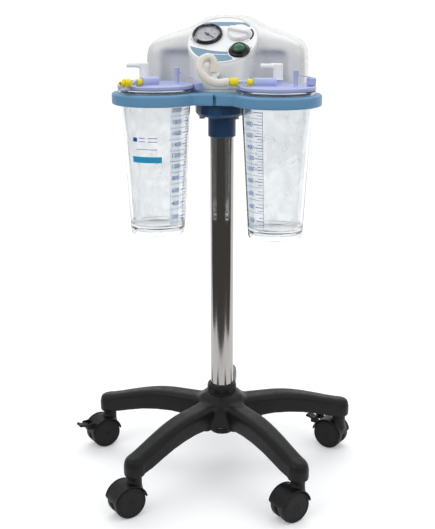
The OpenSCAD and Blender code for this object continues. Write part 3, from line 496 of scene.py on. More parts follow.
def socket(X, Y, Z):
    q = flange(X, Y)
    d = smax(q, np.abs(Z - 688.6) - 9.6, 2)
    d = smin(d, smax(q + 2.4, np.abs(Z - 681) - 5, 2), 1)
    r = cyl(X, Y, 0, 0)
    d = smin(d, rcyl(r, Z, 24.5, 636, 690, 2), 5)
    d = smax(d, -np.maximum(r - 21.3, Z - 688.3), .8)
    for y in (-30, 28): d = smax(d, -(cyl(np.abs(X), Y, 30, y) - 3.2), .5)
    return d


carve("socket_body", socket, (-47, -79, 633), (47, 45, 700), 1.05, "socket_blue", "pump_and_mast", "tray_socket")

# ------------------------------------------------------------------ housing
fh = catmull([(0, 850), (22, 848.5), (38, 843), (52, 833), (66, 824.5), (84, 817.5), (104, 811), (122, 803), (134, 794.5), (141.5, 783), (145, 768), (146, 750), (146, 722)], 5)
front = Poly([tuple(p) for p in fh] + [(146, 680), (-30, 680), (-30, 850)])
sl = catmull([(14, 722), (14, 750), (14, 776), (17, 794), (24, 808), (38, 824), (56, 839), (74, 848), (90, 850), (108, 847), (124, 837), (134, 822), (140, 800), (142, 770), (142, 722)], 5)
sidep = Poly([(14, 680)] + [tuple(p) for p in sl] + [(142, 680)])
plan = Poly(rounded([(-146, 14, 28), (146, 14, 28), (146, 142, 42), (-146, 142, 42)], 28, True, 14))
nf = np.array((0, -math.sin(math.radians(36.1)), math.cos(math.radians(36.1)))); sf = np.array((0, math.cos(math.radians(36.1)), math.sin(math.radians(36.1))))
fc = np.array((0, 5, 802.))
bm = bmesh.new()
for k in range(220):
    a = 2 * math.pi * k / 220
    bm.verts.new(fc + 61.5 * (math.cos(a) * np.array((1., 0, 0)) + math.sin(a) * sf))
for p in rounded([(-33, -50, 8), (33, -50, 8), (44, -34, 12), (58, 20, 25), (58, 90, 4), (-58, 90, 4), (-58, 20, 25), (-44, -34, 12)], 8, True, 6):
    bm.verts.new((p[0], p[1], 690))
bmesh.ops.convex_hull(bm, input=bm.verts)
bm.normal_update()
planes = {}
for fa in bm.faces:
    n_ = np.array(fa.normal); c_ = np.array(fa.calc_center_median())
    if np.linalg.norm(n_) < .5: continue
    if n_ @ (c_ - np.array((0, 20, 760))) < 0: n_ = -n_
    if n_ @ nf > .999 or n_[2] < -.99: continue
    planes[tuple(np.round(n_, 3))] = (n_, n_ @ c_)
bm.free()
planes = list(planes.values())


def bulge(X, Y, Z):
    d = None
    for n_, c_ in planes:
        q = (n_[0] * X - c_) + n_[1] * Y + n_[2] * Z
        d = q if d is None else np.maximum(d, q)
    return smax(d, nf[1] * (Y - 5) + nf[2] * (Z - 802), 5)


def housing_outer(X, Y, Z):
    s = smax(smax(front(np.abs(X), Z), sidep(Y, Z), 26), plan(X, Y), 12)
    d = smin(s, bulge(X, Y, Z), 11)
    dn = nf[1] * (Y - 5) + nf[2] * (Z - 802); q = sf[1] * (Y - 5) + sf[2] * (Z - 802)
    return smax(d, -np.maximum(cyl(X, q, 0, 0) - 60.6, -dn), 2.2)


def alc(X, Z):
    ax = np.abs(X)
    return smax(smin(smax(np.abs(ax - 84) - 27, Z - 766, 2), cyl(ax, Z, 84, 766) - 27, 2), Z - 782, 8)


def housing(X, Y, Z):
    o = housing_outer(X, Y, Z)
    a = np.maximum(smax(alc(X, Z), Y - 33 + np.clip(np.abs(np.abs(X) - 84) - 14, 0, 20) * .35, 12), -60 - Y)
    cl = cyl(np.abs(X), Y, 104, -63) - 66.3
    d = smax(smax(o, -a, 9), -cl, 2.5)
    d = np.maximum(d, -(d + 3))
    d = np.maximum(d, 722.5 - Z)
    # openings in the face, for the port, the inlet and the vents
    dn = nf[1] * (Y - 5) + nf[2] * (Z - 802); s = sf[1] * (Y - 5) + sf[2] * (Z - 802)
    for x, y, r in ((-27.8, 12.4, 24.3), (28, 15, 9.3), (33, -28.5, 11.3)):
        d = np.maximum(d, -np.maximum(cyl(X, s, x, y) - r, -20 - dn))
    d = np.maximum(d, -np.maximum(cyl(X, Z, -1, 747.4) - 5.05, Y + 25))
    d = smax(d, -np.maximum(np.maximum(np.abs(X - 60) - 25, np.abs(Z - 745) - 15), 120 - Y), .8)
    k = np.clip(np.round((X + 93.5) / 14), 0, 8)
    slot_ = smax(np.abs(X + 93.5 - 14 * k) - 2.5, np.abs(Z - 785) - 17, 2)
    d = smax(d, -np.maximum(slot_, 120 - Y), 1)
    return d


carve("cover_shell", housing, (-149, -62, 720), (149, 145, 853), 1.45, "housing_white", "pump_and_mast", "housing_cover", relax=5)
for n_ in ("housing_base",):
    nodes[n_].data.materials.clear(); nodes[n_].data.materials.append(M["housing_white"])


# ------------------------------------------------------------------ control face
def flat_piece(name, outer, d0, d1, m, X=FACE, body="pump_and_mast", holes=(), step=1.2, reps=()):
    """A thin sheet cut to an outline, with round holes: points (x, s) in the plane, from d0 to d1."""
    bmx = bmesh.new()
    loops = [outer] + [[(cx + r * math.cos(2 * math.pi * k / 72), cy + r * math.sin(2 * math.pi * k / 72)) for k in range(72)] for cx, cy, r in holes]
    edges = []
    for lp in loops:
        vs = [bmx.verts.new((p[0], p[1], d1)) for p in lp]
        edges += [bmx.edges.new((vs[i], vs[(i + 1) % len(vs)])) for i in range(len(vs))]
    bmesh.ops.triangle_fill(bmx, use_beauty=True, use_dissolve=False, edges=edges)
    ex = bmesh.ops.extrude_face_region(bmx, geom=bmx.faces[:])
    for v in ex["geom"]:
        if isinstance(v, bmesh.types.BMVert): v.co.z = d0
    bmesh.ops.recalc_face_normals(bmx, faces=bmx.faces[:])
    bmx.verts.index_update()
    V = [tuple(v.co) for v in bmx.verts]; F = [tuple(v.index for v in f.verts) for f in bmx.faces]
    bmx.free()
    return put(name, V, F, m, body, reps, X, angle=30)


def ring_pts(r, a0, a1, n, c=(0, 0)): return [(c[0] + r * math.cos(math.radians(a0 + (a1 - a0) * k / n)), c[1] + r * math.sin(math.radians(a0 + (a1 - a0) * k / n))) for k in range(n + 1)]


GA, KN, BT = (-27.8, 12.4), (28., 15.), (33., -28.5)
holes = [(GA[0], GA[1], 24.6), (KN[0], KN[1], 9.6), (BT[0], BT[1], 11.6)]
flat_piece("label_sheet", ring_pts(60, 0, 355, 142), .05, .3, "label", holes=holes, reps="face_label")
top_band = rounded([(-46.5, 35.4), (-41.5, 42.4), (-35, 47.6), (-12, 48.9), (12, 48.9), (35, 47.6), (41.5, 42.4), (46.5, 35.4), (24, 37.4), (0, 38), (-24, 37.4)], 3, True, 5)
top_band = [tuple(p) for p in top_band]
flat_piece("label_band_top", top_band, .3, .42, "label_band")
low = [(-50.5, -20.5), (-40, -23.5), (-28, -26.5), (-14, -29.2), (0, -31), (14, -31.4)] + ring_pts(17.6, 190, 268, 8, BT)[:]
low = [(-53.5, -17.5), (-42, -21.6), (-30, -25.2), (-16, -28.6), (-2, -30.8), (10, -31.4), (13.5, -31.2), (13.9, -36), (17, -42), (22, -46.3), (24.5, -50.8)] + ring_pts(57, 295, 198.5, 46)
flat_piece("label_band_low", low, .3, .42, "label_band")
swoosh = [(-22, -36.2), (-10, -37.6), (4, -38.4), (15.6, -38.2), (16.4, -39.4), (4, -39.8), (-10, -39.0), (-22, -37.7)]
flat_piece("label_swoosh", swoosh, .42, .5, "label")
low2 = [(46, -46), (50, -28.5), (54.5, -18.2)] + ring_pts(57.2, -18.5, -40, 12)[:]
flat_piece("label_band_right", [(51.8, -27), (47.5, -26.2), (50.5, -21.5), (53.8, -18)] + ring_pts(57, -18.5, -27.5, 8), .3, .42, "label_band")
cres = ring_pts(25.5, 40, -34, 30, KN) + ring_pts(21.2, -34, 40, 30, (KN[0] + 1.2, KN[1] + .2))
flat_piece("scale_crescent", cres, .3, .4, "black_gloss")
for k in range(3):
    a = math.radians(-44 - 7 * k); c_ = (KN[0] + 24 * math.cos(a), KN[1] + 24 * math.sin(a))
    flat_piece(f"scale_dot_{k}", ring_pts(.75 - .15 * k, 0, 330, 11, c_), .3, .4, "black_gloss")
for k in range(25):
    a0 = 205 + 5.6 * k
    r0, r1 = (28.2, 31.6) if k % 4 == 0 else (28.2, 30)
    flat_piece(f"face_tick_{k}", ring_pts(r0, a0 - .5, a0 + .5, 2, GA) + ring_pts(r1, a0 + .5, a0 - .5, 2, GA), .3, .38, "print_grey")

GX = FACE @ T(GA[0], GA[1], .5)
spun("gauge_rim", [(0, -26), (22, -26), (23.8, -24), (23.8, 0, .2), (26.5, 0), (26.5, 3.6, .8), (24.7, 6, .8), (23, 6), (22.1, 4.9), (22.1, .9), (21.4, .05), (0, .05)], "black_gloss", "pump_and_mast", "gauge_case", X=GX, segs=128, rad=.5)
for k, (a, w_) in enumerate(((97, 13), (222, 12), (338, 9))):
    V, F = [], []
    prof = [(22.4, 5.2), (22.4, 6.55), (24.6, 6.6), (26.2, 5.0), (26.75, 3.4), (26.75, 1.2), (26.2, 1.2)]
    for j in range(13):
        an = math.radians(a - w_ + 2 * w_ * j / 12)
        V += [(r * math.cos(an), r * math.sin(an), z) for r, z in prof]
    for j in range(12):
        for q in range(7): F.append((j * 7 + q, j * 7 + (q + 1) % 7, (j + 1) * 7 + (q + 1) % 7, (j + 1) * 7 + q))
    F += [tuple(range(7)), tuple(range(84, 91))]
    put(f"gauge_tab_{k}", V, F, "tab_grey" if k < 2 else "black_gloss", "pump_and_mast", (), GX, angle=35)
spun("dial_plate", [(0, .12), (21.2, .12), (21.2, .8), (0, .8)], "dial", "pump_and_mast", "gauge_dial", X=GX, segs=96, rad=.1)
spun("dial_pin", [(0, .5), (.9, .5), (.9, 3.5), (0, 3.6)], "steel", "pump_and_mast", X=GX, segs=32, rad=.2)
for k in range(51):
    a0 = 222 - 5.28 * k
    L_ = 3.2 if k % 10 == 0 else (2.3 if k % 5 == 0 else 1.4)
    w_ = .9 if k % 10 == 0 else .5
    flat_piece(f"dial_tick_{k}", ring_pts(19.6 - L_, a0 - w_, a0 + w_, 1) + ring_pts(19.6, a0 + w_, a0 - w_, 1), .8, .88, "needle" if k < 36 else "print_red", X=GX)
flat_piece("dial_arc", ring_pts(19.9, 222, -42, 80) + ring_pts(19.55, -42, 222, 80), .8, .87, "needle", X=GX)
flat_piece("dial_mark", ring_pts(4.4, 200, 340, 14, (0, -6.5)) + ring_pts(3.9, 340, 200, 14, (0, -6.5)), .8, .87, "print_grey", X=GX)


def text_mesh(body, size_):
    cu = bpy.data.curves.new("n", "FONT"); cu.body = body; cu.size = size_; cu.align_x = "CENTER"; cu.align_y = "CENTER"; cu.resolution_u = 3; cu.offset = size_ * .012
    ob = bpy.data.objects.new("n", cu); bpy.context.scene.collection.objects.link(ob)
    dg = bpy.context.evaluated_depsgraph_get(); dg.update()
    me = bpy.data.meshes.new_from_object(ob.evaluated_get(dg))
    V = np.array([v.co for v in me.vertices], float).reshape(-1, 3); F = [tuple(p.vertices) for p in me.polygons]
    bpy.data.objects.remove(ob); bpy.data.curves.remove(cu); bpy.data.meshes.remove(me)
    return V, F


AV, AF = [], []
for k in range(6):
    V, F = text_mesh(str(20 * k) if k else "0", 3.1)
    a = math.radians(222 - 52.8 * k); o_ = len(AV)
    AV += [(v[0] + 13.4 * math.cos(a), v[1] + 13.4 * math.sin(a), .86) for v in V]; AF += [tuple(i + o_ for i in f) for f in F]
put("dial_numbers", AV, AF, "needle", "pump_and_mast", (), GX, recalc=False)

NX = GX @ R("z", -38)
V, F = [], []
pts = rounded([(-6.4, -1.4, .5), (0, -1.15, .3), (17.6, -.28, .1), (17.6, .28, .1), (0, 1.15, .3), (-6.4, 1.4, .5)], .3, True, 3)
n_ = len(pts)
V = [(p[0], p[1], 2.02) for p in pts] + [(p[0], p[1], 2.58) for p in pts]
F = [tuple(range(n_)), tuple(range(n_, 2 * n_))] + [(k, (k + 1) % n_, n_ + (k + 1) % n_, n_ + k) for k in range(n_)]
put("needle_blade", V, F, "needle", "gauge_needle", "gauge_needle", NX, angle=30)
spun("needle_hub", [(1, 1.8), (3, 1.8), (3, 2.6, .4), (2.2, 3.1, .3), (1, 3.1)], "needle", "gauge_needle", X=NX, segs=48, closed=True, rad=.2)
spun("lens_disc", [(0, 3.95), (22.3, 3.95), (22.3, 4.55, .2), (18, 4.86, 8), (8, 4.92, 8), (0, 4.92)], "lens", "pump_and_mast", "gauge_lens", X=GX, segs=96, rad=.15)


def knob(X, Y, Z):
    r = cyl(X, Y, 0, 0)
    skirt = rcyl(r + np.maximum(Z - 1, 0) * .16, Z, 19.4, 0, 7, 1.6)
    dish = -(np.sqrt(X * X + Y * Y + (Z - 66) ** 2) - 59.6)
    half = 6.1 - .22 * np.abs(X) * .18 - np.maximum(Z - 4, 0) * .12
    bar = smax(smax(np.abs(Y) - half, np.abs(X) - 20.6 + np.maximum(Z - 8, 0) * .7, 3), np.abs(Z - 7.2) - 6.3, 2.6)
    d = smin(smax(skirt, -dish * 0 - 1e3, 1), bar, 2.4)
    return smax(d, -np.maximum(r - 3.05, Z - 7.2), .4)


V, F = net(knob, (-22.5, -21, -1), (22.5, 21, 15), .5, 2)
KX = FACE @ T(KN[0], KN[1], 1.1) @ R("z", -16)
put("knob_body", V, F, "knob_white", "regulator_knob", "regulator_knob", KX, recalc=False)
BX = FACE @ T(BT[0], BT[1], .5)
spun("skirt_body", [(9.75, -18), (11, -18), (11, 0, .2), (18.5, 0, .4), (18.5, 1.3, .9), (16.6, 3.7, 2), (15.6, 4.4, .3), (15.2, 4.4, .3), (13.0, 8.0, 1.2), (11.2, 8.9, .7), (9.75, 8.5, .3)], "black_gloss", "pump_and_mast", "button_skirt", X=BX, segs=128, closed=True, rad=.4)
pr = [(0, -12), (9.5, -12, .4), (9.5, 8.3, .5)] + [(14.4 * math.cos(math.radians(a)), -2.6 + 14.4 * math.sin(math.radians(a)), 3) for a in (52, 58, 65, 72, 79, 85)] + [(0, 11.8)]
spun("button_dome", pr, "green", "power_button", "power_button", X=BX, segs=96, rad=.4)
nodes["regulator_valve"].data.materials.clear(); nodes["regulator_valve"].data.materials.append(M["brass"])

# ------------------------------------------------------------------ port, hose, inlet
V, F = lathe(rounded([(0, 0), (5, 0), (5, 14), (5, 45.4, .5), (4.2, 46, .5), (0, 46)], .3), 64)
put("port_arm", V, F, "elbow_white", "pump_and_mast", "suction_port", HEAD @ T(-1, -32, 747.4) @ R("x", 90), angle=50, wn=True)
spun("port_nipple", [(0, 0), (4.4, 0), (5.6, 1.2, 1), (5.6, 10.4, .5), (3.6, 10.4, .2), (3.6, 12, .2), (4.3, 14, .3), (3.6, 17, .2), (4.3, 19, .3), (3.4, 23, .5), (0, 23)], "elbow_white", "pump_and_mast", X=HEAD @ T(-1, -78, 742.4), segs=64)
V, F = lathe(rounded([(5.02, 0), (8, 0), (8, 2.5), (5.02, 2.5)], .6, True), 64, True)
put("port_collar", V, F, "elbow_white", "pump_and_mast", (), HEAD @ T(-1, -38, 747.4) @ R("x", 90), angle=50, wn=True)
hose = [(26, -82, 738), (19, -83, 738), (12, -87, 737), (4, -92, 738), (-8, -95, 743), (-17, -95, 751), (-22, -93, 760), (-22, -89, 768), (-18, -85, 775), (-10, -81, 778), (-4, -79, 775), (-1, -78, 768), (-1, -78, 760), (-1, -78, 753.4)]
hp = catmull(hose, 8); n_ = len(hp)
i_ = np.arange(n_) / 8 * 3
hr = np.where(i_ < 30, 6.8, np.minimum(9, 6.8 + .32 * (i_ - 30)))
hr = np.minimum(hr, np.array([6.8 - .9 * max(0, 1 - k / 2.) ** 2 for k in range(n_)]) + np.where(i_ >= 30, 9, 0))
hr[-1] -= .8
V, F = tube(hp, hr, 40)
put("hose_tube", V, F, "silicone", "lid_right", "suction_hose")
for n_, s_ in (("mains_inlet", "black_gloss"), ("motor_stator", "motor_metal"), ("motor_rotor", "copper"), ("pump_block", "alu"), ("piston_rod", "alu"), ("rubber_mounts", "rubber"), ("inner_tubes", "silicone"),
               ("tray_bolts", "steel"), ("housing_screws", "steel")):
    nodes[n_].data.materials.clear(); nodes[n_].data.materials.append(M[s_])


# ------------------------------------------------------------------ jars, liners, lids
def cone_r(z): return 48 + (z - 485) * 11.5 / 213.5


jar_prof = [(44, 473, 1.2), (46.4, 473.6, 1.6), (47.6, 477, 3), (48, 485, 12), (59.5, 698.5, 6), (59.5, 718.6, .5), (64.2, 718.6, .8), (64.6, 720, .8), (64.6, 723.6, 1.2), (63.6, 725, .8), (57.6, 725, .5),
            (57.5, 698.5, 6), (45.8, 495, 6), (42, 490.4, 5), (0, 489), ]
jar_in = [(0, 486), (40, 487, 3), (43.4, 481.6, 2.5)]
for s, sd in ((-1, "left"), (1, "right")):
    prof = rounded(jar_in + jar_prof, 1, False, 5)
    V, F = lathe(prof, 144)
    put(f"jar_wall_{sd}", V, F, "clear", f"jar_{sd}", f"jar_{sd}", JAR(s), angle=60)
    # creased liner bag
    nt_, nz_ = 260, 150
    th = np.linspace(0, 2 * math.pi, nt_, endpoint=False)[None, :]; zz = np.linspace(0, 1, nz_)[:, None]
    g = np.random.default_rng(11 + s)
    fold = np.zeros((nz_, nt_))
    for q in range(16):
        k = int(g.integers(2, 13)); ph = g.uniform(0, 6.28); sl_ = g.uniform(-2.6, 2.6); zc = g.uniform(0, 1); zw = g.uniform(.15, .6)
        w_ = np.exp(-((zz - zc) / zw) ** 2)
        fold += w_ * (1 - np.abs(np.sin(k * th / 2 + ph + sl_ * 3 * zz))) ** 2.2 * g.uniform(.6, 1.6)
    for q in range(12):
        k = int(g.integers(14, 34)); ph = g.uniform(0, 6.28); sl_ = g.uniform(-7, 7); zc = g.uniform(0, 1); zw = g.uniform(.06, .3)
        fold += np.exp(-((zz - zc) / zw) ** 2) * (1 - np.abs(np.sin(k * th / 2 + ph + sl_ * zz))) ** 3 * g.uniform(.15, .5)
    fold = fold / fold.max() * 5.2
    fade = np.clip((1 - zz) / .05, 0, 1)
    zt = 491.5 + zz * (724.6 - 491.5)
    rad = np.minimum(np.interp(zt, [491.5, 500, 698.5, 725], [43.6, 45.6, 56.9, 56.9]), 57) - fold * fade - .1
    zdrop = zt
    V = np.stack([rad * np.cos(th), rad * np.sin(th), zdrop + 0 * th], -1).reshape(-1, 3)
    nb = 14
    bot = []
    for q in range(1, nb):
        f_ = 1 - q / nb
        rr = rad[0] * f_; zb = 491.5 - .9 * min(1, q / 3) + 1.6 * np.abs(np.sin(5 * th[0] + q * .7)) * f_ * (q > 1)
        bot.append(np.stack([rr * np.cos(th[0]), rr * np.sin(th[0]), np.maximum(zb, 490.3)], -1))
    bot = bot[::-1]
    V = np.concatenate([np.array([[0, 0, 490.6]])] + bot + [V]); rows = nb - 1 + nz_
    A = 1 + np.arange(rows - 1)[:, None] * nt_ + np.arange(nt_)[None, :]; B = 1 + np.arange(rows - 1)[:, None] * nt_ + (np.arange(nt_)[None, :] + 1) % nt_
    Fq = [tuple(x) for x in np.stack([A, B, B + nt_, A + nt_], -1).reshape(-1, 4)] + [(0, 1 + (k + 1) % nt_, 1 + k) for k in range(nt_)]
    put(f"liner_bag_{sd}", V, Fq, "liner", f"lid_{sd}", f"liner_{sd}", JAR(s), recalc=True)

# printed graduations: thin ink on the jar's outer face
def print_on(name, quads, s, sd, m, lift=.06, extra=()):
    V, F = [], []
    for a0, a1, z0, z1 in quads:
        k = max(2, int(abs(a1 - a0) / 2.2)); o_ = len(V)
        for j in range(k + 1):
            a = math.radians(a0 + (a1 - a0) * j / k)
            for z in (z0, z1):
                r = cone_r(z) + lift; V.append((r * math.cos(a), r * math.sin(a), z))
        F += [(o_ + 2 * j, o_ + 2 * j + 2, o_ + 2 * j + 3, o_ + 2 * j + 1) for j in range(k)]
    for body, sz, a, z in extra:
        TV, TF = text_mesh(body, sz); o_ = len(V)
        for v in TV:
            zz_ = z + v[1]; r = cone_r(zz_) + lift; an = math.radians(a) + v[0] / r; V.append((r * math.cos(an), r * math.sin(an), zz_))
        F += [tuple(i + o_ for i in f) for f in TF]
    return put(name, V, F, m, f"jar_{sd}", (), JAR(s), recalc=False)


levels = [692.5, 672.5, 653.5, 634, 616, 597, 577, 555, 532.5, 508.5]
for s, sd, ac, sgn in ((1, "right", -132, 1), (-1, "left", -33, -1)):
    q, tx = [], []
    for i, z in enumerate(levels):
        q.append((ac + 7, ac + 24, z - .6, z + .6))
        tx.append((str(2000 - 200 * i), 10.5, ac - 5 if s > 0 else ac - 7, z))
        q.append((ac - 21, ac + 24, z - 10.2, z - 9.6))
        zn = levels[i + 1] if i + 1 < len(levels) else z - 24
        for j in range(1, 4):
            zj = z + (zn - z) * j / 4
            q.append((ac + 14, ac + 24, zj - .45, zj + .45)) if j != 2 else None
    q.append((ac + 24.2, ac + 25, 486 + 6, 694))
    print_on(f"scale_{sd}", q, s, sd, "print_blue", .07, tx)
    print_on(f"scale_ground_{sd}", [(ac - 20, ac + 1, 492, 695)], s, sd, "print_pale", .03)
print_on("mark_block", [(-124, -68, 604.5, 615)], -1, "left", "print_cyan", .07)
print_on("mark_small", [(-121, -112, 640, 647), (-108, -97, 640, 641.2), (-108, -97, 645.8, 647), (-92, -76, 640, 641.2), (-92, -76, 645.8, 647), (-115, -76, 627, 627.9)], -1, "left", "print_blue", .07)


def lid(X, Y, Z):
    r = cyl(X, Y, 0, 0)
    disc = rcyl(r, Z, 65, 725.3, 732, 1.5)
    d = smax(disc, -rcyl(r, Z, 59.2, 731.1, 745, .4), .8)
    d = smin(d, rcyl(r, Z, 46, 728, 732.6, 1.2), 1.5)
    d = smax(d, -rcyl(r, Z, 43.5, 731.6, 745, .4), .8)
    sk = smax(np.abs(r - 54.9) - .9, np.abs(Z - 724.5) - 2.9, .5)
    d = smin(d, sk, .8)
    d = smax(d, -rcyl(r, Z, 53.5, 700, 727.4, .5), .8)
    bar = rcyl(cyl(Y, Z, -6, 738.2), X, 7, -40, -2, 1.2)
    d = smin(d, bar, 1.2)
    d = smin(d, np.maximum(rbox(X, Y, Z, (-18, -6, 733), (16, 4, 4), 1), -1e9), 2.5)
    d = smin(d, smax(np.abs(rcyl(cyl(Y, Z, -6, 738.2), X, 7.4, -39, -35, .6)), 1e-9 - 1, 1) * 0 + rcyl(cyl(Y, Z, -6, 738.2), X, 7.5, -39.5, -36, .8), 1)
    d = smin(d, rcyl(cyl(X, Y, 2.5, 30), Z, 6.4, 728, 738.2, .8), 3)
    d = smin(d, rcyl(cyl(X, Y, 28.8, -23), Z, 3.85, 728, 756.2, .6), 2.5)
    tab = smax(smax(np.abs(Y) - 8 - (X + 61) * .18, np.abs(X + 68) - 13, 4), np.abs(Z - 727.1) - 1.4, 1)
    d = smin(d, tab, 1.2)
    d = smax(d, -np.maximum(cyl(Y, Z, -6, 738.2) - 3.5, X + 20), .4)
    d = smax(d, -np.maximum(cyl(X, Y, 2.5, 30) - 4.2, 726 - Z), .4)
    return smax(d, -np.maximum(cyl(X, Y, 28.8, -23) - 2.2, 726 - Z), .4)


lidV, lidF = net(lid, (-83, -67, 719.5), (67, 67, 758), .85, 1)


def elbow(X, Y, Z):
    r = cyl(X, Y, 0, 0)
    d = rcyl(r, Z, 8.3, 738.6, 766, 2.6)
    noz = rcyl(cyl(Y, Z, 0, 761.5), X, 4.2, -29.7, 0, .7)
    d = smin(d, noz, 2.2)
    d = smin(d, rcyl(cyl(Y, Z, 0, 761.5), X, 5.2, -12, -7, .8), 1)
    d = np.minimum(d, rcyl(r, Z, 4.15, 733.2, 742, .3))
    d = smin(d, rcyl(r, Z, 8.9, 738.6, 741, .6), .6)
    d = smax(d, -np.maximum(cyl(Y, Z, 0, 761.5) - 2.6, X), .4)
    return smax(d, -np.maximum(r - 2.6, Z - 761.5), .4)


elbV, elbF = net(elbow, (-31, -10, 732), (10, 10, 767), .5, 1)
straps = {1: [(33, -22.6, 750.5), (37, -20, 750), (43, -14, 748.5), (49, -7, 747), (53, -4, 746.4), (55, -2, 745.4)],
          -1: [(32.4, -26.6, 750.5), (35, -31, 749), (38, -38, 745), (40.5, -46, 742), (41.4, -54, 738.5), (41.4, -58, 734.8)]}
caps = {1: ((56.4, 1, 732.2), 8.4), -1: ((41.4, -60.2, 722), 7.4)}
for s, sd in ((-1, "left"), (1, "right")):
    X = LID(s); b = f"lid_{sd}"; turn = 9.3 if s > 0 else 58
    put(f"lid_shell_{sd}", lidV, lidF, "lilac", b, f"lid_{sd}", X, recalc=False)
    put(f"elbow_body_{sd}", elbV, elbF, "elbow_white", f"elbow_{sd}", f"elbow_{sd}", X @ T(2.5, 30, 0) @ R("z", 9.3 - turn), recalc=False)
    CX = X @ T(0, -6, 738.2) @ R("y", -90)
    spun(f"connector_ball_{sd}", [(2.4, 40.1), (4.6, 40.1, .6), (5.5, 41.6, .8), (5.5, 44), (5.0, 44.8, .4), (5.0, 46, .4), (5.5, 46.8), (5.5, 49.4, .8), (4.6, 51, .6), (2.4, 51)], "yellow", b, f"connector_{sd}", X=CX, segs=64, closed=True, rad=.4)
    spun(f"connector_adaptor_{sd}", [(2.4, 30), (3.45, 30), (3.45, 39.6, .2), (4.2, 51.1, .2), (4.2, 52.5), (4.7, 54.5, 1), (4.7, 57, 1), (4.2, 59), (4.2, 64), (4.0, 66), (2.4, 66)], "adaptor", b, X=CX, segs=64, closed=True, rad=.5)
    V, F = lathe(rounded([(4.02, 65.6), (6.2, 65.6, .7), (6.9, 67, .7), (6.9, 78, .8), (6.2, 79.2, .6), (4.02, 79.2)], .4, True), 96, True)
    V = [((x * (1 + (.028 if 67 < z < 78.4 else 0) * math.cos(16 * math.atan2(y, x)))), (y * (1 + (.028 if 67 < z < 78.4 else 0) * math.cos(16 * math.atan2(y, x)))), z) for x, y, z in V]
    put(f"connector_cuff_{sd}", V, F, "yellow", b, (), CX, angle=50)
    spun(f"connector_spigot_{sd}", [(2.4, 66.2), (4, 66.2), (4, 82), (4.35, 83.2, .4), (3.6, 87, .3), (2.4, 87)], "yellow", b, X=CX, segs=64, closed=True, rad=.3)
    V, F = lathe(rounded([(0, 11.3), (4.2, 11.3, .8), (5, 10.4, .8), (5, 2.4), (4.6, 1.6), (5, .8), (5, 0), (3.9, 0), (3.9, 8.4), (0, 8.4)], .3), 48)
    put(f"stopper_small_{sd}", V, F, "lilac", b, f"stopper_{sd}", X @ T(28.8, -23, 748), angle=50, wn=True)
    cp, cr = caps[s]
    V, F = lathe(rounded([(0, 0), (cr - 1, 0, .6), (cr - .2, 1.2, .6), (cr - .2, 3), (cr, 3.6), (cr, 11, 1), (cr - 1.3, 12.8, 1), (cr - 3, 13.1), (cr - 3.4, 12.4), (cr - 4.6, 12.4), (cr - 5, 13.2), (0, 13.4)], .4), 64)
    put(f"stopper_cap_{sd}", V, F, "lilac", b, (), X @ T(*cp), angle=50, wn=True)
    V, F = tube(catmull(straps[s], 8), .95, 16)
    put(f"stopper_strap_{sd}", V, F, "lilac", b, (), X)

# ------------------------------------------------------------------ stage, light, camera
sc = bpy.context.scene


def floor_mat():
    m = bpy.data.materials.new("floor"); m.use_nodes = True
    nt = m.node_tree; p = nt.nodes["Principled BSDF"]
    nz = nt.nodes.new("ShaderNodeTexNoise"); nz.inputs["Scale"].default_value = 6
    mx = nt.nodes.new("ShaderNodeMix"); mx.data_type = "RGBA"; mx.inputs[6].default_value = (.90, .90, .90, 1); mx.inputs[7].default_value = (.92, .92, .92, 1)
    nt.links.new(nz.outputs[0], mx.inputs[0]); nt.links.new(mx.outputs[2], p.inputs["Base Color"])
    p.inputs["Roughness"].default_value = .55; p.inputs["Specular IOR Level"].default_value = .2
    p.inputs["Emission Color"].default_value = (1, 1, 1, 1); p.inputs["Emission Strength"].default_value = .17
    return m


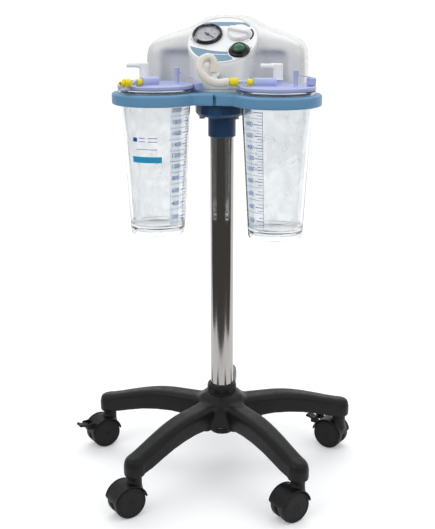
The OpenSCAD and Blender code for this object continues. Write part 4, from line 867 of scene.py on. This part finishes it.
prof = [(-.62, 0), (-.3, 0), (0, 0), (.2, 0), (.35, 0), (.6, 0), (.9, 0), (1.2, 0), (1.6, 0)] + [(1.6 + 1.2 * math.sin(a), 1.2 - 1.2 * math.cos(a)) for a in np.linspace(.1, math.pi / 2, 14)] + [(2.8, 2.2), (2.8, 3.2)]
V, F = [], []
for x in np.linspace(-1, 1, 33):
    V += [(x * float(np.interp(y, [-.62, 0, .35, 1.2], [.62, .8, 1.3, 3.6])), y, z) for y, z in prof]
k = len(prof)
for i in range(32):
    for j in range(k - 1): F.append((i * k + j, (i + 1) * k + j, (i + 1) * k + j + 1, i * k + j + 1))
me = bpy.data.meshes.new("floor"); me.from_pydata(V, [], F); me.polygons.foreach_set("use_smooth", np.ones(len(me.polygons), bool))
fl_ = bpy.data.objects.new("floor", me); sc.collection.objects.link(fl_); me.materials.append(floor_mat())

w = bpy.data.worlds.new("studio"); sc.world = w; w.use_nodes = True
nt = w.node_tree; bg = nt.nodes["Background"]
tc = nt.nodes.new("ShaderNodeTexCoord"); sp = nt.nodes.new("ShaderNodeSeparateXYZ"); nt.links.new(tc.outputs["Generated"], sp.inputs[0])
r1 = nt.nodes.new("ShaderNodeValToRGB"); nt.links.new(sp.outputs[2], r1.inputs[0])
r1.color_ramp.elements[0].position = .0; r1.color_ramp.elements[0].color = (.11, .105, .10, 1)
r1.color_ramp.elements[1].position = .16; r1.color_ramp.elements[1].color = (.93, .94, .96, 1)
nt.links.new(r1.outputs[0], bg.inputs["Color"]); bg.inputs["Strength"].default_value = .94
sc.view_settings.view_transform = "Standard"


def area(name, loc, target, sx, sy, power, col=(1, 1, 1)):
    li = bpy.data.lights.new(name, "AREA"); li.shape = "RECTANGLE"; li.size = sx; li.size_y = sy; li.energy = power; li.color = col
    ob = bpy.data.objects.new(name, li); sc.collection.objects.link(ob); ob.location = loc
    ob.rotation_euler = (Vector(target) - Vector(loc)).to_track_quat("-Z", "Y").to_euler()
    return ob


area("key", (-1.3, -1.5, 1.9), (0, 0, .65), 1.2, 1.2, 9.5)
area("fill", (1.7, -1.2, 1.4), (0, 0, .65), 1.2, 1.2, 6)
area("back", (0, 1.5, 2.6), (0, 1.2, 0), 3.2, 1.6, 20)

cam = bpy.data.cameras.new("cam"); co = bpy.data.objects.new("cam", cam); sc.collection.objects.link(co)
a = math.radians(9.3)
co.location = (.027 + math.sin(a) * 1.695, -.004 - math.cos(a) * 1.695, .881)
co.rotation_euler = (math.radians(90 - 15.88), 0, a)
cam.sensor_width = 36; cam.lens = 957 / 529 * 36; cam.shift_x = -4.4 / 529; cam.shift_y = .3 / 529
cam.clip_start = .05; cam.clip_end = 30
sc.camera = co
